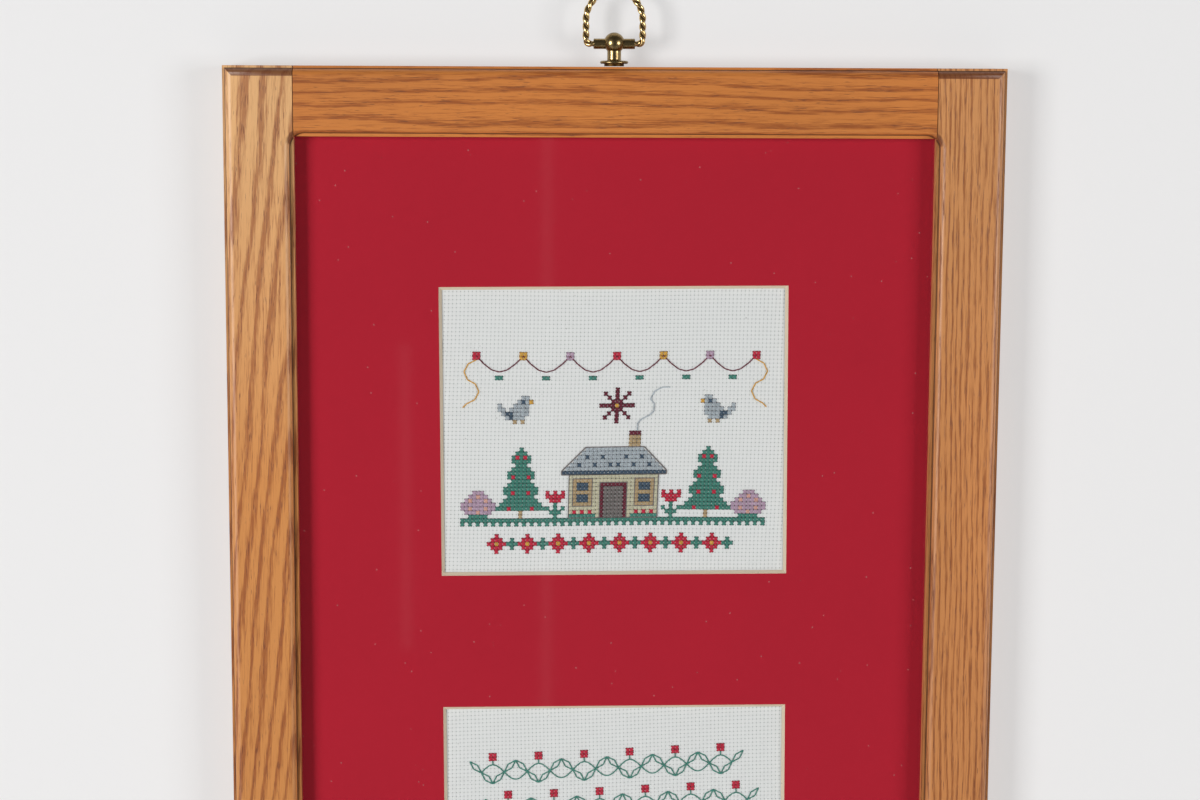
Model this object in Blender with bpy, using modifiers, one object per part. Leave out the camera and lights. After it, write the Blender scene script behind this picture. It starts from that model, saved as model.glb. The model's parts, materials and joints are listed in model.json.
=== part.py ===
"""Framed cross stitch sampler: an oak frame with glass, a window mat, two stitched cloths and a brass ring.

+Z is up, the front faces -Y, and the origin is the point where the ring hangs on its nail: the inside of
the ring's top, in the middle of the frame's thickness. Sizes are in metres.
"""

import math

import bmesh
import bpy
from mathutils import Matrix, Vector

MM = 0.001
GAP = 0.3 * MM
WELD = 0.01 * MM

# Frame: two full-height stiles with the rails butted between them
FRAME_WIDTH = 355.6 * MM
FRAME_HEIGHT = 533.4 * MM
FRAME_DEPTH = 19.0 * MM
MEMBER_WIDTH = 31.75 * MM
FRAME_CENTRE_X = 0.8 * MM

# Moulded edges: a quarter round that ends on a narrow step, outside and round the opening
OUTER_STEP = 1.2 * MM
OUTER_ROUND = 3.5 * MM
INNER_STEP = 0.6 * MM
INNER_ROUND = 3.3 * MM
STEP_DROP = 0.25 * MM
ROUTER_CORNER = 5.0 * MM
ROUND_STEPS = 6
CORNER_STEPS = 6

# Rebate behind the front lip, and what is stacked in it from front to back
LIP_DEPTH = 8.0 * MM
REBATE_WIDTH = 10.0 * MM
GLASS_THICK = 2.0 * MM
MAT_THICK = 1.4 * MM
CLOTH_THICK = 1.0 * MM
MOUNT_THICK = 2.0 * MM
BACKING_THICK = 2.2 * MM

# Mat windows, upper and lower, and the cloth that reaches under the mat round each
WINDOW_WIDTH = 161.3 * MM
WINDOW_HEIGHT = 135.4 * MM
WINDOW_TOP_MARGIN = 68.4 * MM
WINDOW_SPACING = 198.5 * MM
WINDOW_SHIFT = 0.8 * MM
WINDOW_TILT = math.radians(0.4)
CLOTH_WIDTH = 186.0 * MM
CLOTH_HEIGHT = 160.0 * MM

# Brass hanger: heights are above the frame's top face
SEAT_RADIUS = 4.5 * MM
FLANGE_RADIUS = 6.4 * MM
FLANGE_LOW = 1.1 * MM
FLANGE_HIGH = 2.4 * MM
FLANGE_RIM = 0.3 * MM
FLANGE_SLOPE = 1.0 * MM
NECK_RADIUS = 2.8 * MM
NECK_FLARE = 0.6 * MM
BALL_RADIUS = 4.45 * MM
BALL_HEIGHT = 10.6 * MM
ARM_RADIUS = 2.35 * MM
ARM_REACH = 9.4 * MM
ARM_HEIGHT = 9.9 * MM
SHANK_RADIUS = 1.5 * MM
SHANK_LENGTH = 12.0 * MM
SOCKET_RADIUS = 1.7 * MM
SOCKET_DEPTH = 3.0 * MM
BALL_STEPS = 12
STUD_SIDES = 32
ARM_SIDES = 28
HOLE_SIDES = 24

# Ring: two strands laid together and bent into a stirrup
STRAND_RADIUS = 0.725 * MM
STRAND_OFFSET = 0.675 * MM
WAIST_RADIUS = 0.45 * MM
LAY_LENGTH = 7.8 * MM
LEG_SPREAD = 26.2 * MM
RING_RISE = 24.5 * MM
RING_BEND = 2.0 * MM
RING_STEPS_PER_LAY = 12
RING_SECTION_POINTS = 12

# Places worked out from the sizes above
WIRE_RADIUS = STRAND_OFFSET + STRAND_RADIUS
ARM_AXIS_Z = WIRE_RADIUS - RING_RISE
FRAME_TOP = ARM_AXIS_Z - ARM_HEIGHT
FRAME_BOTTOM = FRAME_TOP - FRAME_HEIGHT
FRAME_LEFT = FRAME_CENTRE_X - FRAME_WIDTH / 2
FRAME_RIGHT = FRAME_CENTRE_X + FRAME_WIDTH / 2
FRONT = -FRAME_DEPTH / 2
BACK = FRAME_DEPTH / 2
SIGHT_LEFT = FRAME_LEFT + MEMBER_WIDTH
SIGHT_RIGHT = FRAME_RIGHT - MEMBER_WIDTH
SIGHT_TOP = FRAME_TOP - MEMBER_WIDTH
SIGHT_BOTTOM = FRAME_BOTTOM + MEMBER_WIDTH
SIGHT_CENTRE_Z = (SIGHT_TOP + SIGHT_BOTTOM) / 2

# How far a cutter runs past what it cuts
REACH = 2.0 * MM

# Ring's left half, from its end in the socket: along, round the bend, up the leg and to the top
RING_END_X = ARM_REACH - SOCKET_DEPTH + GAP
RING_FOOT = LEG_SPREAD / 2 - RING_BEND - RING_END_X
RING_CURL = RING_BEND * math.pi / 2
RING_LEG = RING_RISE - LEG_SPREAD / 2 - RING_BEND
RING_CROWN = LEG_SPREAD / 2 * math.pi / 2
RING_HALF_LENGTH = RING_FOOT + RING_CURL + RING_LEG + RING_CROWN

# Colour, roughness and metallic value of each finish
COLOURS = {
    "oak_left": ((0.63, 0.41, 0.20), 0.38, 0.0),
    "oak_right": ((0.56, 0.32, 0.14), 0.38, 0.0),
    "oak_rail": ((0.50, 0.25, 0.09), 0.38, 0.0),
    "glass": ((0.92, 0.96, 0.95), 0.03, 0.0),
    "mat_card": ((0.42, 0.02, 0.035), 0.85, 0.0),
    "cloth": ((0.72, 0.74, 0.72), 0.95, 0.0),
    "mount_card": ((0.80, 0.78, 0.72), 0.90, 0.0),
    "backing_board": ((0.22, 0.13, 0.07), 0.70, 0.0),
    "aged_brass": ((0.38, 0.27, 0.10), 0.30, 1.0),
    "bright_brass": ((0.72, 0.50, 0.17), 0.22, 1.0),
}


def clear_scene():
    for thing in list(bpy.data.objects):
        bpy.data.objects.remove(thing, do_unlink=True)


def new_collection(name):
    collection = bpy.data.collections.new(name)
    bpy.context.scene.collection.children.link(collection)
    return collection


def material(name):
    """The named finish, made once as a Principled BSDF."""
    if name in bpy.data.materials:
        return bpy.data.materials[name]
    colour, roughness, metallic = COLOURS[name]
    finish = bpy.data.materials.new(name)
    finish.use_nodes = True
    shader = finish.node_tree.nodes["Principled BSDF"]
    shader.inputs["Base Color"].default_value = (*colour, 1.0)
    shader.inputs["Roughness"].default_value = roughness
    shader.inputs["Metallic"].default_value = metallic
    return finish


def add_object(name, shape, collection, finish=None):
    """Turns a bmesh into a named object. A cutter has no finish and stays out of a render."""
    mesh = bpy.data.meshes.new(name)
    shape.to_mesh(mesh)
    shape.free()
    thing = bpy.data.objects.new(name, mesh)
    collection.objects.link(thing)
    if finish:
        mesh.materials.append(material(finish))
    else:
        thing.hide_render = True
        thing.display_type = "WIRE"
    return thing


def add_box(name, low, high, collection, finish=None):
    """A box between two opposite corners."""
    low = Vector(low)
    high = Vector(high)
    shape = bmesh.new()
    bmesh.ops.create_cube(
        shape,
        size=1.0,
        matrix=Matrix.Translation((low + high) / 2) @ Matrix.Diagonal((*(high - low), 1.0)),
    )
    return add_object(name, shape, collection, finish)


def add_cylinder(name, radius, start, end, segments, collection):
    """A cutter or a stub along the line from start to end."""
    start = Vector(start)
    end = Vector(end)
    turn = (end - start).to_track_quat("Z", "Y").to_matrix().to_4x4()
    shape = bmesh.new()
    bmesh.ops.create_cone(
        shape,
        cap_ends=True,
        segments=segments,
        radius1=radius,
        radius2=radius,
        depth=(end - start).length,
        matrix=Matrix.Translation((start + end) / 2) @ turn,
    )
    return add_object(name, shape, collection)


def add_loft(name, loops, ends_meet, collection):
    """A solid through loops of equally many points, capped, or joined end to end into a hoop."""
    shape = bmesh.new()
    rings = [[shape.verts.new(point) for point in loop] for loop in loops]
    pairs = list(zip(rings, rings[1:]))
    if ends_meet:
        pairs.append((rings[-1], rings[0]))
    for first, second in pairs:
        for index, corner in enumerate(first):
            following = (index + 1) % len(first)
            shape.faces.new((corner, first[following], second[following], second[index]))
    if not ends_meet:
        shape.faces.new(rings[0])
        shape.faces.new(rings[-1])
    bmesh.ops.recalc_face_normals(shape, faces=shape.faces)
    return add_object(name, shape, collection)


def cut(thing, cutter, operation="DIFFERENCE"):
    boolean = thing.modifiers.new(cutter.name, "BOOLEAN")
    boolean.operation = operation
    boolean.solver = "EXACT"
    boolean.object = cutter


def rectangle(left, right, bottom, top, depth):
    return [(left, depth, bottom), (right, depth, bottom), (right, depth, top), (left, depth, top)]


def edge_profile(step, radius):
    """(offset, depth) pairs of a moulded edge, from its step up the quarter round to the front face."""
    points = [(step, STEP_DROP + radius)]
    for index in range(ROUND_STEPS + 1):
        turn = math.pi / 2 * index / ROUND_STEPS
        points.append((step + radius - radius * math.cos(turn), radius - radius * math.sin(turn)))
    return points


def outer_edge_cutter(collection):
    """A hoop that takes the moulding off the frame's outer front edges."""
    profile = edge_profile(OUTER_STEP, OUTER_ROUND)
    step_depth = profile[0][1]
    face_inset = profile[-1][0]
    route = [(-REACH, -REACH), (-REACH, step_depth), *profile, (face_inset, -REACH)]
    loops = [
        rectangle(
            FRAME_LEFT + inset,
            FRAME_RIGHT - inset,
            FRAME_BOTTOM + inset,
            FRAME_TOP - inset,
            FRONT + depth,
        )
        for inset, depth in route
    ]
    return add_loft("outer_edge_cutter", loops, True, collection)


def rounded_sight(outset, depth):
    """The frame's opening grown by outset, with the corners that the router's bearing leaves."""
    radius = ROUTER_CORNER + outset
    corners = [
        (SIGHT_RIGHT - ROUTER_CORNER, SIGHT_TOP - ROUTER_CORNER, 0.0),
        (SIGHT_LEFT + ROUTER_CORNER, SIGHT_TOP - ROUTER_CORNER, math.pi / 2),
        (SIGHT_LEFT + ROUTER_CORNER, SIGHT_BOTTOM + ROUTER_CORNER, math.pi),
        (SIGHT_RIGHT - ROUTER_CORNER, SIGHT_BOTTOM + ROUTER_CORNER, math.pi * 1.5),
    ]
    points = []
    for centre_x, centre_z, start in corners:
        for index in range(CORNER_STEPS + 1):
            turn = start + math.pi / 2 * index / CORNER_STEPS
            x = centre_x + radius * math.cos(turn)
            z = centre_z + radius * math.sin(turn)
            points.append((x, FRONT + depth, z))
    return points


def inner_edge_cutter(collection):
    """A plug that takes the moulding off the front edges round the opening."""
    profile = edge_profile(INNER_STEP, INNER_ROUND)
    loops = [rounded_sight(outset, depth) for outset, depth in profile]
    loops.append(rounded_sight(profile[-1][0], -REACH))
    return add_loft("inner_edge_cutter", loops, False, collection)


def build_members(parts, cutters):
    """The four oak members with their moulded edges, rebate and the hole for the hanger's shank."""
    members = {
        "stile_left": (FRAME_LEFT, SIGHT_LEFT, FRAME_BOTTOM, FRAME_TOP, "oak_left"),
        "stile_right": (SIGHT_RIGHT, FRAME_RIGHT, FRAME_BOTTOM, FRAME_TOP, "oak_right"),
        "rail_top": (SIGHT_LEFT + GAP, SIGHT_RIGHT - GAP, SIGHT_TOP, FRAME_TOP, "oak_rail"),
        "rail_bottom": (SIGHT_LEFT + GAP, SIGHT_RIGHT - GAP, FRAME_BOTTOM, SIGHT_BOTTOM, "oak_rail"),
    }
    outer = outer_edge_cutter(cutters)
    inner = inner_edge_cutter(cutters)
    rebate = add_box(
        "rebate_cutter",
        (SIGHT_LEFT - REBATE_WIDTH, FRONT + LIP_DEPTH, SIGHT_BOTTOM - REBATE_WIDTH),
        (SIGHT_RIGHT + REBATE_WIDTH, BACK + REACH, SIGHT_TOP + REBATE_WIDTH),
        cutters,
    )
    for name, (left, right, bottom, top, finish) in members.items():
        member = add_box(name, (left, FRONT, bottom), (right, BACK, top), parts, finish)
        cut(member, outer)
        cut(member, inner)
        cut(member, rebate)
    shank_hole = add_cylinder(
        "shank_hole_cutter",
        SHANK_RADIUS + GAP,
        (0.0, 0.0, FRAME_TOP - SHANK_LENGTH - GAP),
        (0.0, 0.0, FRAME_TOP + REACH),
        HOLE_SIDES,
        cutters,
    )
    cut(parts.objects["rail_top"], shank_hole)


def window_centres():
    """The middles of the upper and lower window, turned together about the middle of the mat."""
    upper_z = SIGHT_TOP - WINDOW_TOP_MARGIN - WINDOW_HEIGHT / 2
    centres = []
    for z in (upper_z, upper_z - WINDOW_SPACING):
        lift = z - SIGHT_CENTRE_Z
        x = FRAME_CENTRE_X + WINDOW_SHIFT - lift * math.sin(WINDOW_TILT)
        centres.append((x, SIGHT_CENTRE_Z + lift * math.cos(WINDOW_TILT)))
    return centres


def window_cutter(name, centre, mat_front, collection):
    """A plug with the mat's bevelled window edge: it narrows by the card's thickness from front to back."""
    loops = []
    for depth in (-REACH, MAT_THICK + REACH):
        half_width = WINDOW_WIDTH / 2 - depth
        half_height = WINDOW_HEIGHT / 2 - depth
        loop = []
        for x, _, z in rectangle(-half_width, half_width, -half_height, half_height, 0.0):
            turned_x = x * math.cos(WINDOW_TILT) - z * math.sin(WINDOW_TILT)
            turned_z = x * math.sin(WINDOW_TILT) + z * math.cos(WINDOW_TILT)
            loop.append((centre[0] + turned_x, mat_front + depth, centre[1] + turned_z))
        loops.append(loop)
    return add_loft(name, loops, False, collection)


def build_stack(parts, cutters):
    """Glass, mat, cloths, mounting card and backing board, from the lip to the back."""
    left = SIGHT_LEFT - REBATE_WIDTH + GAP
    right = SIGHT_RIGHT + REBATE_WIDTH - GAP
    bottom = SIGHT_BOTTOM - REBATE_WIDTH + GAP
    top = SIGHT_TOP + REBATE_WIDTH - GAP
    front = FRONT + LIP_DEPTH + GAP
    add_box("glass", (left, front, bottom), (right, front + GLASS_THICK, top), parts, "glass")
    front += GLASS_THICK + GAP
    mat = add_box("mat", (left, front, bottom), (right, front + MAT_THICK, top), parts, "mat_card")
    centres = dict(zip(("upper", "lower"), window_centres()))
    for name, centre in centres.items():
        cut(mat, window_cutter(f"window_cutter_{name}", centre, front, cutters))
    front += MAT_THICK + GAP
    for name, (centre_x, centre_z) in centres.items():
        add_box(
            f"cloth_{name}",
            (centre_x - CLOTH_WIDTH / 2, front, centre_z - CLOTH_HEIGHT / 2),
            (centre_x + CLOTH_WIDTH / 2, front + CLOTH_THICK, centre_z + CLOTH_HEIGHT / 2),
            parts,
            "cloth",
        )
    front += CLOTH_THICK + GAP
    back = front + MOUNT_THICK
    add_box("mount_card", (left, front, bottom), (right, back, top), parts, "mount_card")
    front = back + GAP
    back = front + BACKING_THICK
    add_box("backing_board", (left, front, bottom), (right, back, top), parts, "backing_board")


def stud_profile():
    """(radius, height) pairs down the outside of the turned hanger, from ball to shank."""
    ball_join = math.asin(NECK_RADIUS / BALL_RADIUS)
    points = []
    for index in range(BALL_STEPS + 1):
        turn = (math.pi - ball_join) * index / BALL_STEPS
        points.append((BALL_RADIUS * math.sin(turn), BALL_HEIGHT + BALL_RADIUS * math.cos(turn)))
    flange_middle = (FLANGE_LOW + FLANGE_HIGH) / 2
    points += [
        (NECK_RADIUS, FLANGE_HIGH + NECK_FLARE),
        (NECK_RADIUS + NECK_FLARE, FLANGE_HIGH),
        (FLANGE_RADIUS - FLANGE_SLOPE, flange_middle + FLANGE_RIM),
        (FLANGE_RADIUS, flange_middle + FLANGE_RIM / 2),
        (FLANGE_RADIUS, flange_middle - FLANGE_RIM / 2),
        (FLANGE_RADIUS - FLANGE_SLOPE, FLANGE_LOW),
        (SEAT_RADIUS, FLANGE_LOW),
        (SEAT_RADIUS, GAP),
        (SHANK_RADIUS, GAP),
        (SHANK_RADIUS, -SHANK_LENGTH + SHANK_RADIUS),
        (0.0, -SHANK_LENGTH),
    ]
    return points


def build_stud(parts, cutters):
    """The hanger: seat, flange, neck and ball turned in one, with two arms bored to take the ring's ends."""
    shape = bmesh.new()
    verts = [shape.verts.new((radius, 0.0, height)) for radius, height in stud_profile()]
    for first, second in zip(verts, verts[1:]):
        shape.edges.new((first, second))
    stud = add_object("hanger_stud", shape, parts, "aged_brass")
    stud.location = (0.0, 0.0, FRAME_TOP)
    turning = stud.modifiers.new("turning", "SCREW")
    turning.steps = STUD_SIDES
    turning.render_steps = STUD_SIDES
    turning.use_merge_vertices = True
    turning.merge_threshold = WELD
    turning.use_smooth_shade = True
    arms = add_cylinder(
        "arms",
        ARM_RADIUS,
        (-ARM_REACH, 0.0, ARM_AXIS_Z),
        (ARM_REACH, 0.0, ARM_AXIS_Z),
        ARM_SIDES,
        cutters,
    )
    cut(stud, arms, "UNION")
    for side, name in ((-1, "socket_left_cutter"), (1, "socket_right_cutter")):
        socket = add_cylinder(
            name,
            SOCKET_RADIUS,
            (side * (ARM_REACH - SOCKET_DEPTH), 0.0, ARM_AXIS_Z),
            (side * (ARM_REACH + REACH), 0.0, ARM_AXIS_Z),
            HOLE_SIDES,
            cutters,
        )
        cut(stud, socket)


def ring_route(distance):
    """The point of the ring's centre line at a distance from its left end, up to the crown."""
    half = LEG_SPREAD / 2
    if distance < RING_FOOT:
        return (-RING_END_X - distance, ARM_AXIS_Z)
    distance -= RING_FOOT
    if distance < RING_CURL:
        turn = distance / RING_BEND
        x = RING_BEND - half - RING_BEND * math.sin(turn)
        return (x, ARM_AXIS_Z + RING_BEND - RING_BEND * math.cos(turn))
    distance -= RING_CURL
    if distance < RING_LEG:
        return (-half, ARM_AXIS_Z + RING_BEND + distance)
    turn = (distance - RING_LEG) / half
    return (-half * math.cos(turn), ARM_AXIS_Z + RING_BEND + RING_LEG + half * math.sin(turn))


def strand_outline():
    """The outline of the two strands side by side, its waist filled a little where they touch."""
    points = []
    for index in range(RING_SECTION_POINTS):
        turn = -2 * math.pi * index / RING_SECTION_POINTS
        across = STRAND_OFFSET * math.sin(turn)
        reach = STRAND_OFFSET * abs(math.cos(turn)) + math.sqrt(STRAND_RADIUS**2 - across**2)
        reach = max(reach, WAIST_RADIUS)
        points.append((reach * math.cos(turn), reach * math.sin(turn), 0.0))
    return points


def add_poly_curve(name, points, cyclic, collection):
    curve = bpy.data.curves.new(name, "CURVE")
    curve.dimensions = "3D"
    spline = curve.splines.new("POLY")
    spline.points.add(len(points) - 1)
    for place, point in zip(spline.points, points):
        place.co = (*point, 1.0)
    spline.use_cyclic_u = cyclic
    thing = bpy.data.objects.new(name, curve)
    collection.objects.link(thing)
    return thing


def build_ring(parts, cutters):
    """The twisted ring, its outline swept along the stirrup and turned once in each lay length."""
    half_steps = math.ceil(RING_HALF_LENGTH / LAY_LENGTH * RING_STEPS_PER_LAY)
    step = RING_HALF_LENGTH / half_steps
    left = [ring_route(step * index) for index in range(half_steps + 1)]
    right = [(-x, z) for x, z in reversed(left[:-1])]
    route = [(x, 0.0, z) for x, z in left + right]
    outline = add_poly_curve("strand_outline", strand_outline(), True, cutters)
    outline.hide_render = True
    outline.display_type = "WIRE"
    ring = add_poly_curve("hanger_ring", route, False, parts)
    ring.data.bevel_mode = "OBJECT"
    ring.data.bevel_object = outline
    ring.data.use_fill_caps = True
    for index, place in enumerate(ring.data.splines[0].points):
        place.tilt = -2 * math.pi * index * step / LAY_LENGTH
    ring.data.materials.append(material("bright_brass"))


def main():
    clear_scene()
    parts = new_collection("framed cross stitch sampler")
    cutters = new_collection("cutters")
    build_members(parts, cutters)
    build_stack(parts, cutters)
    build_stud(parts, cutters)
    build_ring(parts, cutters)


main()
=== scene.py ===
"""The looks of a framed cross stitch sampler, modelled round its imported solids.

+Z is up, the front faces -Y, and the origin is the point where the ring hangs. Lengths are in metres.
"""

import json
import math
from collections import namedtuple

import bpy
import numpy as np
from bpy.props import FloatProperty, FloatVectorProperty, IntProperty, PointerProperty
from bpy.types import Operator, Panel, PropertyGroup
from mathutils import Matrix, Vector

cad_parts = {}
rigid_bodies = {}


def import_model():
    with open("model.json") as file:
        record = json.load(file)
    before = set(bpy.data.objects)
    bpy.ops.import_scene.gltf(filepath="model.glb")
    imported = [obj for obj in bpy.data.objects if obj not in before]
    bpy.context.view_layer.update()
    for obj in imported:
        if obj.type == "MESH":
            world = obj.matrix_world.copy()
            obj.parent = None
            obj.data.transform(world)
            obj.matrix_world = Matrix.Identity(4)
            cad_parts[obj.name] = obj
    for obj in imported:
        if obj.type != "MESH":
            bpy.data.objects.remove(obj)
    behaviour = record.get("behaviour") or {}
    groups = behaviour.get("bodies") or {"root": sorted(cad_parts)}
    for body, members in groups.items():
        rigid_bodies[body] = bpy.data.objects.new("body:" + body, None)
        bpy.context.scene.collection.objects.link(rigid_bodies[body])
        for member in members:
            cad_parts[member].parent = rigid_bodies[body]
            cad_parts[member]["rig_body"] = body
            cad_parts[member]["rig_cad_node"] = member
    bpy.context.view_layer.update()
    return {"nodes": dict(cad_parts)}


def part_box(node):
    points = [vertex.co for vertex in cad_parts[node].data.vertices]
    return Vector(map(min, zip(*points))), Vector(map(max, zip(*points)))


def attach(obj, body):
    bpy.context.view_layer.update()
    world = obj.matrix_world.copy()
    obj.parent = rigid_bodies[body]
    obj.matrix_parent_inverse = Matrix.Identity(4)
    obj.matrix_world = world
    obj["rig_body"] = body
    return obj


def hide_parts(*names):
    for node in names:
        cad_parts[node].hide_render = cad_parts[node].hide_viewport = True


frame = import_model()

bl_info = {
    "name": "Framed Cross Stitch Sampler",
    "version": (1, 0),
    "blender": (4, 5, 0),
    "location": "3D View > Sidebar > Sampler",
    "description": "Models the oak frame, mat, stitched cloths and brass hanger of a sampler",
    "category": "Add Mesh",
}

MM = 0.001
WELD = 0.001 * MM

# Places taken from the solids
STILE_LOW, STILE_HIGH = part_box("stile_left")
FAR_STILE_LOW, FAR_STILE_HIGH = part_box("stile_right")
FRAME_CENTRE = Vector((
    (STILE_LOW.x + FAR_STILE_HIGH.x) / 2,
    0.0,
    (STILE_LOW.z + STILE_HIGH.z) / 2,
))
FRAME_HALF = Vector(((FAR_STILE_HIGH.x - STILE_LOW.x) / 2, 0.0, (STILE_HIGH.z - STILE_LOW.z) / 2))
FRAME_TOP = STILE_HIGH.z
FRAME_FRONT = STILE_LOW.y
FRAME_BACK = STILE_HIGH.y
RAIL_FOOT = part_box("rail_top")[0].z
SIGHT_HALF = Vector((
    (FAR_STILE_LOW.x - STILE_HIGH.x) / 2,
    0.0,
    RAIL_FOOT - FRAME_CENTRE.z,
))
STUD_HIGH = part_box("hanger_stud")[1]
RING_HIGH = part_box("hanger_ring")[1]

# Moulding: a narrow step, a quirk line dark with stain and painted shade, and a quarter round, in from
# the frame's edge and out from its opening, whose corners are round as the router's bearing leaves them
OUTER_QUIRK = 1.2 * MM
OUTER_ROUND = 3.4 * MM
OUTER_LINE = 0.22 * MM
SIGHT_CORNER = 5.0 * MM
INNER_STEP = 1.6 * MM
INNER_ROUND = 3.3 * MM
INNER_DROP = 0.27 * MM
INNER_LINE = 0.26 * MM
MOULDED_DEPTH = 4.2 * MM
PLUG_REACH = 5.0 * MM
ROUND_STEPS = 8
CORNER_STEPS = 9

# Oak: its rings wander this many times more slowly along the grain, its fibres lean this share of its
# rings' lean, so that the rings' edges break into dashes, and painted falloff darkens it lower down,
# as if glare had paled its top
RING_STRETCH = 7.0
FIBRE_LEAN = 0.3
FALLOFF_START = 20.0 * MM
FALLOFF_FULL = 190.0 * MM

# A wave texture's bands are this far apart, divided by its scale
WAVE_LENGTH = 2 * math.pi / 20

# Sizes of what the other patterns draw: stretches of grain that stray or change tone together, clouds
# in the card, flecks of pulp and the wires of the screen that pressed the board, slubs in the cotton,
# uneven dye, tarnish, and the roller's stipple in the paint
RING_STRAY = 20.833 * MM
TONE_PATCH = 41.667 * MM
CARD_CLOUD = 62.5 * MM
PULP_FLECK = 1.4286 * MM
SCREEN_WIRE = 1.6 * MM
COTTON_SLUB = 2.381 * MM
DYE_PATCH = 1.111 * MM
TARNISH_PATCH = 2.381 * MM
ROLLER_STIPPLE = 3.846 * MM

# Cloth: quads and threads across a block, and the blocks across and up in which its lines wander
QUADS_PER_BLOCK = 3
THREADS_PER_BLOCK = 4
WANDER_ACROSS = (23.0, 9.0)
WANDER_UP = (11.0, 31.0)

# Stitches: where a leg's sections are cut, as shares of its length from the middle, where they come to
# lie, and how wide they are. The tips dive into the holes.
STITCH_STATIONS = (0.0, 0.25, 0.5)
STITCH_SHOULDERS = (0.0, 0.34, 0.5)
STITCH_TAPERS = (1.0, 1.0, 0.8)
STITCH_DIVE = 0.28 * MM
STITCH_TIP = 0.45
STRAND_PRESS = 0.3
OVER_LEG_RISE = 0.8
BACK_STITCH_RISE = 0.06 * MM
BACK_STITCH_OVERLAP = 1.05
TENSION = (0.95, 1.05)

# Stud: heights above the frame of its seat and its rounded flange, whose top falls a little to its
# shoulder, the cove that carries the neck down to it, its bored arms, the height below which the seat
# under the flange is darkened as painted shade, and the tarnished band on the neck
SEAT_FOOT = 0.3 * MM
FLANGE_UNDER = 1.4 * MM
FLANGE_MIDDLE = 2.1 * MM
FLANGE_HALF = 0.7 * MM
FLANGE_TOP = 2.9 * MM
FLANGE_FALL = 0.05 * MM
FLANGE_SHOULDER = 1.4 * MM
SEAT_CHAMFER = 0.4 * MM
COVE = 0.6 * MM
ARM_EASE = 0.25 * MM
SOCKET_RADIUS = 1.7 * MM
SOCKET_DEPTH = 3.0 * MM
SEAT_SHADE_HEIGHT = 1.45 * MM
NECK_TARNISH = 6.6 * MM
NECK_TARNISH_SPREAD = 0.9 * MM

# Ring: the bend at each foot, how far its ends reach into the sockets, steps in one twist, and how
# near its line, as a share of its radius, the hollows between its strands get painted shade
RING_BEND = 2.0 * MM
RING_TUCK = 2.7 * MM
STEPS_PER_LAY = 18
HOLLOW_EDGE = 0.86
HOLLOW_FADE = 0.16

# Stage: the wall stands behind the frame and glows, as in a room full of light. Narrow dim slits
# beside the camera give the faint upright streaks that the glass mirrors. The sky is bright to the
# camera, dim to shiny pieces and nearly dark to matt ones.
WALL_GAP = 3.0 * MM
WALL_GLOW = 0.47
FLOOR_LEVEL = -1.8
SLIT_PLACE = -1.6
SLIT_WIDTH = 0.012
SLIT_GLOW = 0.3
SKY_SEEN, SKY_SHINE, SKY_DIMMED = 0.7, 0.09, -0.07
SENSOR_WIDTH = 36.0

# One row for each oak member: where its pith lies from the member's middle and how far apart its
# growth rings are, in millimetres, how far its grain leans from the member's length, in degrees, how
# strongly the rings show, and how strongly painted falloff darkens it towards the foot, as if glare
# had paled its top
Member = namedtuple("Member", "node piece slot upright pith lean ring_gap figure look amber")
MEMBERS = (
    Member("stile_left", "left_stile", "oak_left", True, (-60, 46), 6.5, 4.3, 0.62, "left", 1.0),
    Member("stile_right", "right_stile", "oak_right", True, (95, 30), -0.6, 2.5, 0.5, "right", 0.4),
    Member("rail_top", "top_rail", "oak_rail", False, (-58, 40), 0.9, 4.6, 0.5, "rail", 0.0),
    Member("rail_bottom", "bottom_rail", "oak_rail", False, (52, 46), -0.8, 4.4, 0.5, "rail", 0.0),
)

# One row for each window: how far its cloth's columns lean to the right and its rows rise, in degrees
Window = namedtuple("Window", "name node column_lean row_rise")
UPPER = Window("upper", "cloth_upper", 1.7, 0.3)
LOWER = Window("lower", "cloth_lower", -0.5, 2.4)

# Charts: one letter for each cross, and half charts that are mirrored about their last column
COTTAGE = """
......SSSSSSSS
.....SSSSSSSSS
....SSDSSSDSSS
...SSSSSSSSSSS
..SSDSSSDSSSDS
.SSSSSSSSSSSSS
DDDDDDDDDDDDDD
..WWWWWWWWWWWW
..WTTTTTWWWWWW
..WTDDDTWWMMMM
..WTDDDTWWMKKK
..WTTTTTWWMKKK
..WTDDDTWWMKKK
..WTDDDTWWMKKK
..WTTTTTWWMKKK
..WWWWWWWWMKKK
..WCWCWCWWMKKK
..GGGGGGGWMKKK
"""
FIR = """
......G
.....GG
....GCG
....GGG
.....GG
....GGG
...GGGG
...GCGG
....GGG
...GGGG
..GGGGG
..GGCGG
...GGGG
..GGGGG
.GGGGGG
GGGCGGG
......T
......T
"""
BUSH = """
...LL
..LLP
.LPLL
LLLLL
LLPLL
.LLLP
..GGG
"""
STAR = """
....M
.M..M
..M.M
...MM
MMMMY
...MM
..M.M
.M..M
....M
"""
TULIP = """
C.C
CCC
.CC
..G
G.G
.GG
..G
"""
BIRD = """
......SS.
.....SDSY
S...SSSS.
SS.SSSSS.
.SDDSSSS.
..SDSSS..
....T.T..
"""
CHIMNEY = """
MMM
TTT
TTT
TTT
"""
BORDER = """
..C.....
.CCC..G.
CCYCCGGG
.CCC..G.
..C.....
"""

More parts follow.
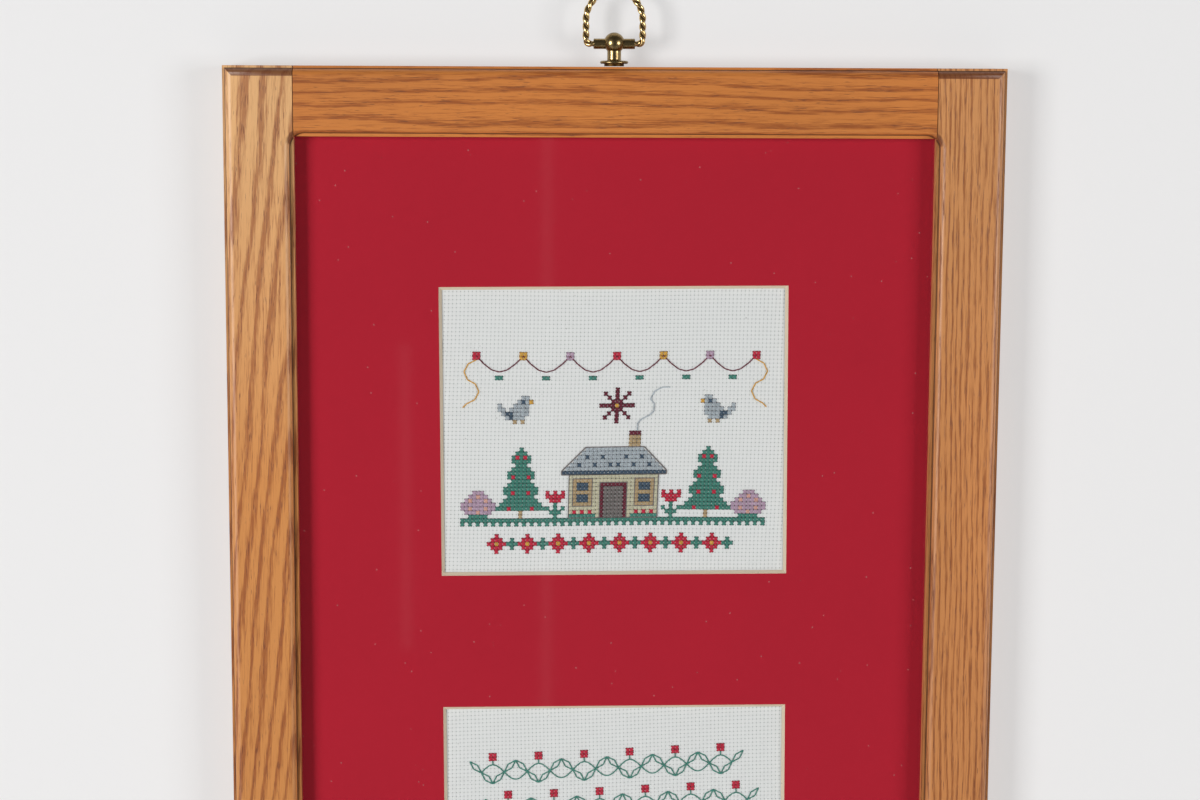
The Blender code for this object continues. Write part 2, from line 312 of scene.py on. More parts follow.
# Where each chart stands on the upper cloth: the column of its left cross and the row of its top one
Motif = namedtuple("Motif", "chart left top half flipped")
UPPER_MOTIFS = (
    Motif(COTTAGE, -13, -5, True, False),
    Motif(CHIMNEY, 4, -1, False, False),
    Motif(FIR, -30, -5, True, False),
    Motif(FIR, 18, -5, True, False),
    Motif(BUSH, -39, -16, True, False),
    Motif(BUSH, 31, -16, True, False),
    Motif(TULIP, -17, -16, True, False),
    Motif(TULIP, 13, -16, True, False),
    Motif(STAR, -4, 10, True, False),
    Motif(BIRD, -30, 8, False, False),
    Motif(BIRD, 22, 8, False, True),
)

# The ground is two rows of crosses, and the border repeats below it
GROUND_ROW = -23
GROUND_ENDS = (-39, 39)
BORDER_LEFT, BORDER_TOP, BORDER_WIDTH, BORDER_REPEATS = -32, -27, 8, 8

# Swags of thread on the upper cloth hang from buds, and a loose end curls down at each side
SWAG_LEFT, SWAG_TOP, SWAG_WIDTH, SWAG_DIP, SWAG_COUNT = -36, 19, 12, 4, 6
SWAG_BUDS = "CYL"
TAIL = ((0, 0), (2, -1), (3, -3), (2, -5), (0, -6), (-1, -8), (0, -10), (2, -11), (3, -12))

# Outlines on the upper cloth, as holes of the cloth from its middle
ROOF = ((-13, -11), (-13, -10), (-7, -4), (8, -4), (14, -10), (14, -11), (-13, -11))
SMOKE = ((6, 0), (6, 2), (7, 3), (9, 4), (10, 5), (10, 7), (9, 8), (10, 10), (12, 11), (14, 11))

# Vines on the lower cloth: each row's height, its ends, its wave, and a leaf from its root round
VINE_ROWS = (20, 10, 0, -10, -20)
VINE_ENDS = (-35, 31)
VINE_SHIFT = 4
VINE_WAVE = 12
VINE_SWING = 2
LEAF = ((0, 0), (1, 2), (3, 3), (2, 1), (0, 0))

# Thread colours by chart letter
THREADS = {
    "G": ("green", "438A7B"),
    "C": ("crimson", "CC2242"),
    "M": ("maroon", "6B1D32"),
    "L": ("lilac", "C1A5BC"),
    "S": ("slate_blue", "B4BEC5"),
    "D": ("dark_blue", "44596C"),
    "W": ("sage", "D2CEB2"),
    "T": ("tan", "BCA37B"),
    "K": ("charcoal", "7A7472"),
    "Y": ("gold", "DDA945"),
    "P": ("pink", "E3AE9E"),
}


def linear(code):
    """Turns an sRGB hex colour into linear red, green, blue and a full alpha."""
    parts = [int(code[place:place + 2], 16) / 255 for place in (0, 2, 4)]
    return (*(part / 12.92 if part <= 0.04045 else ((part + 0.055) / 1.055) ** 2.4 for part in parts), 1.0)


def colour_property(name, description, code):
    """A colour setting, from its sRGB hex code."""
    return FloatVectorProperty(
        name=name, description=description, default=linear(code), size=4, min=0.0, max=1.0,
        subtype="COLOR",
    )


def length_property(name, description, millimetres):
    """A length setting, from its size in millimetres."""
    return FloatProperty(
        name=name, description=description, default=millimetres * MM, min=0.0, subtype="DISTANCE",
        unit="LENGTH", precision=5,
    )


class SamplerOak(PropertyGroup):
    left_light: colour_property("Left stile, late wood", "Smooth wood of the left stile", "E3B079")
    left_dark: colour_property("Left stile, early wood", "Porous wood of the left stile", "B0764B")
    right_light: colour_property("Right stile, late wood", "Smooth wood of the right stile", "D7965D")
    right_dark: colour_property("Right stile, early wood", "Porous wood of the right stile", "A06135")
    rail_light: colour_property("Rails, late wood", "Smooth wood of the rails", "D3823E")
    rail_dark: colour_property("Rails, early wood", "Porous wood of the rails", "A15726")
    end_grain: colour_property("End grain", "Cut ends, which drank the stain", "6B3415")
    # Painted falloff: a darker, warmer tint mixed in lower down the stiles, as if glare had paled their tops
    amber: colour_property("Amber", "Tint of the old lacquer lower down the stiles", "EBCCA7")
    # Quirk: part stain left in the moulding's corner and part painted shade in that narrow corner
    quirk: colour_property("Quirk", "Stain left in the corner of the moulding", "3C2013")
    pore: colour_property("Pore", "Open pores of the early wood", "6E3C20")
    arris: length_property("Arris", "Width that sanding took off each sharp edge", 0.09)
    pore_width: length_property("Pore width", "Drawn a little wider than real pores, to show", 0.22)
    pore_length: length_property("Pore length", "Length of an open pore along the grain", 3.2)
    fibre_width: length_property("Fibre width", "Width of a streak along the grain", 0.55)
    fibre_length: length_property("Fibre length", "Length of a streak along the grain", 14.0)
    wander: length_property("Wander", "How far the growth rings stray from true circles", 9.0)


class SamplerMat(PropertyGroup):
    face: colour_property("Face", "Crimson face paper", "B3152C")
    core: colour_property("Core", "Cream core that shows at the bevels", "DFCEB6")
    fibre: length_property("Fibre", "Size of the paper's felted fibres", 0.9)
    glass_tint: colour_property("Glass tint", "Light that one face of the glass passes", "FFFFFF")
    dust: length_property("Dust", "Distance between specks of dust on the glass", 9.0)


class SamplerCloth(PropertyGroup):
    width: length_property("Cut width", "Width that each cloth was cut to", 186.0)
    height: length_property("Cut height", "Height that each cloth was cut to", 160.0)
    columns: IntProperty(name="Columns", description="Blocks across the cloth", default=103, min=1)
    rows: IntProperty(name="Rows", description="Blocks up the cloth", default=86, min=1)
    relief: length_property("Relief", "Depth of the holes below the blocks", 0.2)
    drift: length_property("Drift", "How far the woven lines wander", 0.22)
    thread: colour_property("Cotton", "Bleached cotton of the cloth", "ECEEED")
    hole: colour_property("Hole", "Shade seen in the holes between blocks", "8F9694")


class SamplerThread(PropertyGroup):
    width: length_property("Leg width", "Width of two strands side by side", 0.98)
    thick: length_property("Leg thickness", "Thickness of a strand on the cloth", 0.34)
    back_width: length_property("Line width", "Width of a back stitch", 0.62)
    jitter: FloatProperty(
        name="Jitter", description="How far a stitch is turned by hand tension", default=0.05,
        subtype="ANGLE",
    )


class SamplerHanger(PropertyGroup):
    ball: length_property("Ball radius", "Radius of the turned ball", 4.75)
    ball_height: length_property("Ball height", "Middle of the ball above the frame", 10.8)
    neck: length_property("Neck radius", "Radius of the neck under the ball", 3.15)
    flange: length_property("Flange radius", "Radius of the flange on its seat", 6.4)
    seat: length_property("Seat radius", "Radius of the seat under the flange", 4.5)
    arm: length_property("Arm radius", "Radius of each bored arm", 2.35)
    arm_height: length_property("Arm height", "Axis of the arms above the frame", 10.4)
    strand: length_property("Strand radius", "Radius of each strand of the ring", 1.0)
    strand_offset: length_property("Strand offset", "Strand's middle from the ring's line", 0.6)
    lay: length_property("Lay length", "Length of one whole twist", 7.8)
    # The stud and the ring are one brass: the stud's darker colour is painted shade and the ring's paler
    # colour painted highlight
    stud_brass_shaded: colour_property("Aged brass", "Darkened brass of the stud", "A38D62")
    bright: colour_property("Bright brass", "Polished brass of the ring", "E6C68A")
    # This colour is used for tarnished patches, and also as painted shade in the ring's hollows and under
    # the stud's flange
    tarnish_and_shade: colour_property("Tarnish", "Brown tarnish in the hollows", "4A3318")


class SamplerStage(PropertyGroup):
    lens: FloatProperty(name="Lens", description="Focal length for a 36 mm sensor", default=73.1)
    camera_place: FloatVectorProperty(
        name="Camera place", description="Where the camera stands", default=(-0.0321, -1.1174, -0.0302),
        subtype="TRANSLATION", unit="LENGTH",
    )
    camera_turn: FloatVectorProperty(
        name="Camera turn", description="How the camera is turned", subtype="EULER",
        default=tuple(math.radians(angle) for angle in (82.072, -0.271, -1.316)),
    )
    wall: colour_property("Wall", "Pale matt wall", "A9A8A8")
    floor: colour_property("Floor", "Pale matt floor", "C8C6C3")
    key_power: FloatProperty(name="Key power", description="Left soft box", default=64.0, unit="POWER")
    fill_power: FloatProperty(name="Fill power", description="Right soft box", default=38.0, unit="POWER")


def deselect_all():
    """Leaves no object selected."""
    for thing in bpy.context.selected_objects:
        thing.select_set(False)


def make_active(piece):
    """Leaves the piece alone selected and active."""
    deselect_all()
    piece.select_set(True)
    bpy.context.view_layer.objects.active = piece


def new_object(name, data):
    """An object for the data, linked into the scene."""
    thing = bpy.data.objects.new(name, data)
    bpy.context.scene.collection.objects.link(thing)
    return thing


def edit_mesh(*steps):
    """Runs edit mode steps on the whole active piece, each an operator and its settings."""
    bpy.ops.object.mode_set(mode="EDIT")
    bpy.ops.mesh.select_all(action="SELECT")
    for operator, settings in steps:
        operator(**settings)
    bpy.ops.object.mode_set(mode="OBJECT")


def apply_modifier(piece, kind, **settings):
    """Adds a modifier with its settings to the piece and applies it."""
    modifier = piece.modifiers.new(kind.lower(), kind)
    for name, value in settings.items():
        setattr(modifier, name, value)
    make_active(piece)
    bpy.ops.object.modifier_apply(modifier=modifier.name)


def merged_copy(node, name):
    """A copy of a node with its loose triangles merged into whole faces, under its own name."""
    source = frame["nodes"][node]
    make_active(source)
    bpy.ops.object.duplicate()
    piece = bpy.context.object
    bpy.ops.object.parent_clear(type="CLEAR_KEEP_TRANSFORM")
    piece.name = name
    piece.data.name = name
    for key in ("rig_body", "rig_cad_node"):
        del piece[key]
    bpy.ops.mesh.customdata_custom_splitnormals_clear()
    edit_mesh(
        (bpy.ops.mesh.remove_doubles, {"threshold": WELD}),
        (bpy.ops.mesh.dissolve_limited, {"angle_limit": math.radians(0.5)}),
    )
    return piece


def smooth(piece, angle=35.0):
    """Smooth shading that keeps edges sharper than the angle, with flat faces left flat."""
    make_active(piece)
    bpy.ops.object.shade_smooth_by_angle(angle=math.radians(angle))
    apply_modifier(piece, "WEIGHTED_NORMAL", keep_sharp=True)


def dress(piece, slot, materials, *nodes):
    """Gives a finished piece its materials and its place on the body. The slot is not used."""
    piece.data.materials.clear()
    for material in materials:
        piece.data.materials.append(material)
    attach(piece, "root")
    if nodes:
        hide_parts(*nodes)


def add_node(tree, kind, inputs=None, out=0, stops=None, **settings):
    """Adds a node with its settings, values, links and colour stops, and returns one output."""
    node = tree.nodes.new(kind)
    for name, value in settings.items():
        setattr(node, name, value)
    for place, value in (inputs or {}).items():
        if isinstance(value, bpy.types.NodeSocket):
            tree.links.new(value, node.inputs[place])
        else:
            node.inputs[place].default_value = value
    if stops:
        ramp = node.color_ramp
        ends = (stops[0], stops[-1])
        for element, (position, colour) in zip(ramp.elements, ends):
            element.position = position
            element.color = colour
        for position, colour in stops[1:-1]:
            ramp.elements.new(position).color = colour
    return node.outputs[out] if node.outputs else None


def new_material(name):
    """An empty material, its node tree, and the place on the piece that its patterns read."""
    material = bpy.data.materials.new(name)
    material.use_nodes = True
    tree = material.node_tree
    tree.nodes.clear()
    return material, tree, add_node(tree, "ShaderNodeTexCoord", out="Object")


def relief_surface(tree, colour, roughness, height, strength, depth, finish=None):
    """A surface whose colour and roughness lie over a relief of a real depth."""
    relief = {"Height": height, "Strength": strength, "Distance": depth}
    bump = add_node(tree, "ShaderNodeBump", relief, out="Normal")
    inputs = {"Base Color": colour, "Roughness": roughness, "Normal": bump, **(finish or {})}
    return add_node(tree, "ShaderNodeBsdfPrincipled", inputs)


def grey(value):
    """A neutral colour from its linear brightness."""
    return (value, value, value, 1.0)


def edge_distances(tree, place):
    """Distances from the frame's sides, from its top or foot, and past the opening's corner arcs."""
    from_centre = add_node(tree, "ShaderNodeVectorMath", {0: place, 1: FRAME_CENTRE}, operation="SUBTRACT")
    spread = add_node(tree, "ShaderNodeVectorMath", {0: from_centre}, operation="ABSOLUTE")
    inset = add_node(tree, "ShaderNodeVectorMath", {0: FRAME_HALF, 1: spread}, operation="SUBTRACT")
    side, end = (add_node(tree, "ShaderNodeSeparateXYZ", {0: inset}, out=axis) for axis in "XZ")
    corner = SIGHT_HALF - Vector((SIGHT_CORNER, 0.0, SIGHT_CORNER))
    past = add_node(tree, "ShaderNodeVectorMath", {0: spread, 1: corner}, operation="SUBTRACT")
    past = add_node(tree, "ShaderNodeVectorMath", {0: past, 1: (0, 0, 0)}, operation="MAXIMUM")
    past = add_node(tree, "ShaderNodeVectorMath", {0: past, 1: (1, 0, 1)}, operation="MULTIPLY")
    inner = add_node(tree, "ShaderNodeVectorMath", {0: past}, out="Value", operation="LENGTH")
    return side, end, inner


def moulded_only(tree, place, mask):
    """The mask where the wood is moulded, near the front, and 0 on the sides and the back."""
    depth = add_node(tree, "ShaderNodeSeparateXYZ", {0: place}, out="Y")
    limit = FRAME_FRONT + MOULDED_DEPTH
    front = add_node(tree, "ShaderNodeMath", {0: depth, 1: limit}, operation="LESS_THAN")
    return add_node(tree, "ShaderNodeMath", {0: mask, 1: front}, operation="MULTIPLY")


def quirk_mask(tree, side, end, inner):
    """1 on the thin lines where the moulding's rounds meet its steps, dark with stain and painted shade, and
    0 elsewhere.
    """
    outer = add_node(tree, "ShaderNodeMath", {0: side, 1: end}, operation="MINIMUM")
    outer_band = {0: outer, 1: OUTER_QUIRK, 2: OUTER_LINE}
    inner_band = {0: inner, 1: SIGHT_CORNER + INNER_STEP, 2: INNER_LINE}
    outer_line = add_node(tree, "ShaderNodeMath", outer_band, operation="COMPARE")
    inner_line = add_node(tree, "ShaderNodeMath", inner_band, operation="COMPARE")
    return add_node(tree, "ShaderNodeMath", {0: outer_line, 1: inner_line}, operation="MAXIMUM")


def end_round_mask(tree, side, end):
    """1 where the outer round is cut across the ends of a stile's grain, up to the mitre."""
    middle = OUTER_QUIRK + OUTER_ROUND / 2
    band = add_node(tree, "ShaderNodeMath", {0: end, 1: middle, 2: OUTER_ROUND / 2}, operation="COMPARE")
    nearer = add_node(tree, "ShaderNodeMath", {0: end, 1: side}, operation="LESS_THAN")
    return add_node(tree, "ShaderNodeMath", {0: band, 1: nearer}, operation="MULTIPLY")


def oak_grain(tree, member, oak, place):
    """The wood's colour before it ages, its fine streaks and its open pores, all laid along rings
    round the member's pith."""
    light = getattr(oak, member.look + "_light")
    dark = getattr(oak, member.look + "_dark")
    low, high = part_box(member.node)
    across, behind = (offset * MM for offset in member.pith)
    if member.upright:
        length_turn, pith = 0.0, ((low.x + high.x) / 2 + across, behind, (low.z + high.z) / 2)
    else:
        length_turn, pith = math.radians(90.0), ((low.x + high.x) / 2, behind, (low.z + high.z) / 2 + across)

    def along_grain(stretch, lean_share):
        turn = (0.0, length_turn + math.radians(member.lean) * lean_share, 0.0)
        settings = {"Vector": place, "Location": pith, "Rotation": turn, "Scale": (1.0, 1.0, stretch)}
        return add_node(tree, "ShaderNodeMapping", settings, vector_type="TEXTURE")

    def streaks(width, length, detail=2.0):
        vector = along_grain(length / width, FIBRE_LEAN)
        settings = {"Vector": vector, "Scale": 0.5 / width, "Detail": detail, "Roughness": 0.6}
        return add_node(tree, "ShaderNodeTexNoise", settings)

    slow = along_grain(RING_STRETCH, 1.0)
    wander = add_node(
        tree, "ShaderNodeTexNoise",
        {"Vector": slow, "Scale": 1 / RING_STRAY, "Detail": 2.0, "Roughness": 0.5},
        out="Color",
    )
    wander = add_node(tree, "ShaderNodeVectorMath", {0: wander, 1: (0.5, 0.5, 0.5)}, operation="SUBTRACT")
    wander = add_node(tree, "ShaderNodeVectorMath", {0: wander, "Scale": oak.wander}, operation="SCALE")
    ringed = add_node(tree, "ShaderNodeVectorMath", {0: slow, 1: wander})
    rings = add_node(
        tree, "ShaderNodeTexWave",
        {
            "Vector": ringed,
            "Scale": WAVE_LENGTH / (member.ring_gap * MM),
            "Distortion": 1.2,
            "Detail": 3.0,
            "Detail Scale": 3.0,
        },
        out="Fac", wave_type="RINGS", rings_direction="Z", wave_profile="SAW",
    )
    porous = add_node(
        tree, "ShaderNodeValToRGB", {"Fac": rings},
        stops=((0.0, grey(0.75)), (0.12, grey(1.0)), (0.45, grey(0.2)), (0.85, grey(0.0)), (1.0, grey(0.6))),
    )
    # Rings and two widths of streak add up, and where their sum is high the wood is porous and dark
    porous = add_node(tree, "ShaderNodeMath", {0: porous, 1: member.figure}, operation="MULTIPLY")
    coarse = streaks(oak.fibre_width, oak.fibre_length)
    fine = streaks(oak.fibre_width * 0.5, oak.fibre_length * 0.35, 3.0)
    grain = add_node(tree, "ShaderNodeMath", {0: coarse, 1: 1.15, 2: porous}, operation="MULTIPLY_ADD")
    grain = add_node(tree, "ShaderNodeMath", {0: fine, 1: 1.45, 2: grain}, operation="MULTIPLY_ADD")
    band = add_node(
        tree, "ShaderNodeMapRange", {"Value": grain, "From Min": 1.27, "From Max": 1.98},
        interpolation_type="SMOOTHSTEP",
    )
    wood = add_node(tree, "ShaderNodeMixRGB", {"Fac": band, "Color1": light, "Color2": dark})
    pores = streaks(oak.pore_width, oak.pore_length, 1.0)
    threshold = add_node(tree, "ShaderNodeMapRange", {"Value": band, "To Min": 0.70, "To Max": 0.56})
    open_pore = add_node(tree, "ShaderNodeMath", {0: pores, 1: threshold}, operation="SUBTRACT")
    open_pore = add_node(
        tree, "ShaderNodeMapRange", {"Value": open_pore, "From Max": 0.08}, interpolation_type="SMOOTHSTEP",
    )
    shown_pore = add_node(tree, "ShaderNodeMath", {0: open_pore, 1: 0.6}, operation="MULTIPLY")
    wood = add_node(tree, "ShaderNodeMixRGB", {"Fac": shown_pore, "Color1": wood, "Color2": oak.pore})
    broad = add_node(tree, "ShaderNodeTexNoise", {"Vector": slow, "Scale": 1 / TONE_PATCH, "Detail": 1.0})
    broad = add_node(
        tree, "ShaderNodeMapRange",
        {"Value": broad, "From Min": 0.3, "From Max": 0.7, "To Min": 0.9, "To Max": 1.1},
    )
    wood = add_node(
        tree, "ShaderNodeMixRGB", {"Fac": 1.0, "Color1": wood, "Color2": broad}, blend_type="MULTIPLY",
    )
    return wood, fine, open_pore


def oak_marks_and_shading(tree, member, oak, place, wood):
    """The wood's marks and painted light: a darker, warmer tint towards the foot that is painted falloff, as
    if glare paled the top, dark cut ends, and quirk lines dark with stain and painted shade.
    """
    # Painted light: the wood darkens towards the foot, as if glare had paled its top
    level = add_node(tree, "ShaderNodeSeparateXYZ", {0: place}, out="Z")
    start, full = FRAME_TOP - FALLOFF_START, FRAME_TOP - FALLOFF_FULL
    lower = add_node(
        tree, "ShaderNodeMapRange",
        {"Value": level, "From Min": start, "From Max": full, "To Max": member.amber},
    )
    wood = add_node(
        tree, "ShaderNodeMixRGB", {"Fac": lower, "Color1": wood, "Color2": oak.amber}, blend_type="MULTIPLY",
    )
    normal = add_node(tree, "ShaderNodeTexCoord", out="Normal")
    end_on = add_node(tree, "ShaderNodeSeparateXYZ", {0: normal}, out="Z" if member.upright else "X")
    end_on = add_node(tree, "ShaderNodeMath", {0: end_on}, operation="ABSOLUTE")
    end_on = add_node(
        tree, "ShaderNodeMapRange", {"Value": end_on, "From Min": 0.08, "From Max": 0.3},
        interpolation_type="SMOOTHSTEP",
    )
    side, end, inner = edge_distances(tree, place)
    if member.upright:
        cut_round = moulded_only(tree, place, end_round_mask(tree, side, end))
        end_on = add_node(tree, "ShaderNodeMath", {0: end_on, 1: cut_round}, operation="MAXIMUM")
    quirk = moulded_only(tree, place, quirk_mask(tree, side, end, inner))
    end_stain = 0.85 if member.upright else 0.35
    # The quirk lines get stain and painted shade; the cut ends get only the stain they drank
    for mask, strength, stain in ((end_on, end_stain, oak.end_grain), (quirk, 0.75, oak.quirk)):
        darkened_wood = add_node(tree, "ShaderNodeMixRGB", {"Fac": strength, "Color1": wood, "Color2": stain})
        wood = add_node(tree, "ShaderNodeMixRGB", {"Fac": mask, "Color1": wood, "Color2": darkened_wood})
    return wood


def oak_material(member, oak):
    """Flat-sawn red oak, sanded and lacquered satin: growth rings alternate smooth golden wood with
    porous brown bands, whose pores show as short dark dashes. Cut ends drank the stain and are dark."""
    material, tree, place = new_material("lacquered_oak_" + member.piece)
    wood, fine, open_pore = oak_grain(tree, member, oak, place)
    wood = oak_marks_and_shading(tree, member, oak, place, wood)
    height = add_node(tree, "ShaderNodeMath", {0: fine, 1: open_pore}, operation="SUBTRACT")
    roughness = add_node(tree, "ShaderNodeMapRange", {"Value": open_pore, "To Min": 0.42, "To Max": 0.65})
    shader = relief_surface(tree, wood, roughness, height, 0.35, 0.12 * MM)
    add_node(tree, "ShaderNodeOutputMaterial", {"Surface": shader})
    return material


def card_material(name, face, fibre, roughness):
    """Matt card: felted paper fibres too short to see one by one, which make the colour a little uneven."""
    material, tree, place = new_material(name)
    felt = add_node(
        tree, "ShaderNodeTexNoise", {"Vector": place, "Scale": 1 / fibre, "Detail": 4.0, "Roughness": 0.7},
    )
    cloud = add_node(tree, "ShaderNodeTexNoise", {"Vector": place, "Scale": 1 / CARD_CLOUD, "Detail": 2.0})
    shade = add_node(tree, "ShaderNodeMath", {0: felt, 1: cloud}, operation="ADD")
    shade = add_node(
        tree, "ShaderNodeMapRange",
        {"Value": shade, "From Min": 0.6, "From Max": 1.4, "To Min": 0.97, "To Max": 1.03},
    )
    colour = add_node(
        tree, "ShaderNodeMixRGB", {"Fac": 1.0, "Color1": face, "Color2": shade}, blend_type="MULTIPLY",
    )
    shader = relief_surface(tree, colour, roughness, felt, 0.1, 0.03 * MM, {"Specular IOR Level": 0.25})
    add_node(tree, "ShaderNodeOutputMaterial", {"Surface": shader})
    return material


def glass_material(settings):
    """Float glass, 2 mm: clear, with a faint mirror image that grows at grazing angles and a few
    pale specks of dust."""
    material, tree, place = new_material("float_glass")
    specks = add_node(
        tree, "ShaderNodeTexVoronoi", {"Vector": place, "Scale": 1 / settings.dust, "Randomness": 1.0},
        out="Distance",
    )
    specks = add_node(
        tree, "ShaderNodeMapRange",
        {"Value": specks, "From Min": 0.03, "From Max": 0.045, "To Min": 0.2, "To Max": 0.0},
    )
    clear = add_node(tree, "ShaderNodeBsdfTransparent", {"Color": settings.glass_tint})
    mirror = add_node(
        tree, "ShaderNodeBsdfAnisotropic", {"Color": grey(1.0), "Roughness": 0.04}, distribution="GGX",
    )
    dust = add_node(tree, "ShaderNodeBsdfDiffuse", {"Color": linear("D8D2CC")})
    behind = add_node(tree, "ShaderNodeNewGeometry", out="Backfacing")
    before = add_node(tree, "ShaderNodeMath", {0: 1.0, 1: behind}, operation="SUBTRACT")
    edge = add_node(tree, "ShaderNodeFresnel", {"IOR": 1.45})
    edge = add_node(tree, "ShaderNodeMath", {0: edge, 1: before}, operation="MULTIPLY")
    shader = add_node(tree, "ShaderNodeMixShader", {0: edge, 1: clear, 2: mirror})
    shader = add_node(tree, "ShaderNodeMixShader", {0: specks, 1: shader, 2: dust})
    add_node(tree, "ShaderNodeOutputMaterial", {"Surface": shader})
    return material


def hardboard_material():
    """Tempered hardboard: pressed brown wood pulp, mottled, with the print of the press's wire screen."""
    material, tree, place = new_material("hardboard")
    pulp = add_node(
        tree, "ShaderNodeTexNoise",
        {"Vector": place, "Scale": 1 / PULP_FLECK, "Detail": 5.0, "Roughness": 0.7},
    )
    colour = add_node(
        tree, "ShaderNodeValToRGB", {"Fac": pulp},
        stops=((0.3, linear("5E4029")), (0.5, linear("7C573A")), (0.72, linear("98714D"))),
    )
    settings = {"Vector": place, "Scale": WAVE_LENGTH / SCREEN_WIRE}
    wires = [add_node(tree, "ShaderNodeTexWave", settings, out="Fac", bands_direction=axis) for axis in "XZ"]
    screen = add_node(tree, "ShaderNodeMath", {0: wires[0], 1: wires[1]}, operation="MULTIPLY")
    height = add_node(tree, "ShaderNodeMath", {0: screen, 1: pulp}, operation="ADD")
    shader = relief_surface(tree, colour, 0.72, height, 0.5, 0.2 * MM)
    add_node(tree, "ShaderNodeOutputMaterial", {"Surface": shader})
    return material


def cloth_material(cloth):
    """Bleached cotton block weave, 14 blocks to the inch: each block is four threads by four, and
    the needle holes between blocks look grey because little light comes back out of them."""
    material, tree, place = new_material("cotton_block_weave")
    uv = add_node(tree, "ShaderNodeTexCoord", out="UV")
    counts = (cloth.columns, cloth.rows, 1.0)
    blocks = add_node(tree, "ShaderNodeVectorMath", {0: uv, 1: counts}, operation="MULTIPLY")
    part = add_node(tree, "ShaderNodeVectorMath", {0: blocks}, operation="FRACTION")
    part = add_node(tree, "ShaderNodeVectorMath", {0: part, 1: (0.5, 0.5, 0.5)}, operation="SUBTRACT")
    part = add_node(tree, "ShaderNodeVectorMath", {0: part}, operation="ABSOLUTE")
    grooves = []
    for axis in "XY":
        side = add_node(tree, "ShaderNodeSeparateXYZ", {0: part}, out=axis)
        settings = {"Value": side, "From Min": 0.26, "From Max": 0.5}
        grooves.append(add_node(tree, "ShaderNodeMapRange", settings, interpolation_type="SMOOTHSTEP"))
    # Painted shade: full in the needle holes, and a faint share along the lines between the blocks
    hole = add_node(tree, "ShaderNodeMath", {0: grooves[0], 1: grooves[1]}, operation="MULTIPLY")
    groove = add_node(tree, "ShaderNodeMath", {0: grooves[0], 1: grooves[1]}, operation="MAXIMUM")
    groove = add_node(tree, "ShaderNodeMath", {0: groove, 1: 0.13}, operation="MULTIPLY")
    shade = add_node(tree, "ShaderNodeMath", {0: hole, 1: groove}, operation="MAXIMUM")
    slub = add_node(
        tree, "ShaderNodeTexNoise",
        {"Vector": place, "Scale": 1 / COTTON_SLUB, "Detail": 3.0, "Roughness": 0.6},
    )
    slub = add_node(tree, "ShaderNodeMapRange", {"Value": slub, "To Min": 0.6, "To Max": 1.2})
    shade = add_node(tree, "ShaderNodeMath", {0: shade, 1: slub}, operation="MULTIPLY", use_clamp=True)
    colour = add_node(
        tree, "ShaderNodeMixRGB", {"Fac": shade, "Color1": cloth.thread, "Color2": cloth.hole},
    )
    settings = {"Vector": blocks, "Scale": WAVE_LENGTH * THREADS_PER_BLOCK}
    warp, weft = (
        add_node(tree, "ShaderNodeTexWave", settings, out="Fac", bands_direction=axis) for axis in "XY"
    )
    over = add_node(tree, "ShaderNodeTexChecker", {"Vector": blocks, "Scale": 2.0}, out="Fac")
    weave = add_node(tree, "ShaderNodeMixRGB", {"Fac": over, "Color1": warp, "Color2": weft})
    shader = relief_surface(
        tree, colour, 0.9, weave, 0.5, 0.12 * MM, {"Specular IOR Level": 0.2, "Sheen Weight": 0.15},
    )
    add_node(tree, "ShaderNodeOutputMaterial", {"Surface": shader})
    return material


def thread_material(name, colour):
    """Stranded mercerised cotton: softly glossy dyed floss, whose twist shows as slanting ridges. Where
    a cross goes down into a needle hole, hardly any light reaches it, so its ends are dark."""
    material, tree, place = new_material("stranded_cotton_" + name)
    uv = add_node(tree, "ShaderNodeTexCoord", out="UV")
    dye = add_node(
        tree, "ShaderNodeTexNoise",
        {"Vector": place, "Scale": 1 / DYE_PATCH, "Detail": 3.0, "Roughness": 0.6},
    )
    dye = add_node(
        tree, "ShaderNodeMapRange",
        {"Value": dye, "From Min": 0.3, "From Max": 0.7, "To Min": 0.78, "To Max": 1.14},
    )
    sunk = add_node(tree, "ShaderNodeAttribute", out="Fac", attribute_name="groove")
    sunk = add_node(
        tree, "ShaderNodeMapRange",
        {"Value": sunk, "From Max": 0.55, "To Min": 1.0, "To Max": 0.2},
        interpolation_type="SMOOTHSTEP",
    )
    dyed = colour
    for shade in (dye, sunk):
        settings = {"Fac": 1.0, "Color1": dyed, "Color2": shade}
        dyed = add_node(tree, "ShaderNodeMixRGB", settings, blend_type="MULTIPLY")
    twist = add_node(
        tree, "ShaderNodeTexWave", {"Vector": uv, "Scale": 3.0, "Distortion": 0.5}, out="Fac",
        bands_direction="DIAGONAL",
    )
    shader = relief_surface(
        tree, dyed, 0.55, twist, 0.35, 0.06 * MM, {"Specular IOR Level": 0.35, "Sheen Weight": 0.1},
    )
    add_node(tree, "ShaderNodeOutputMaterial", {"Surface": shader})
    return material


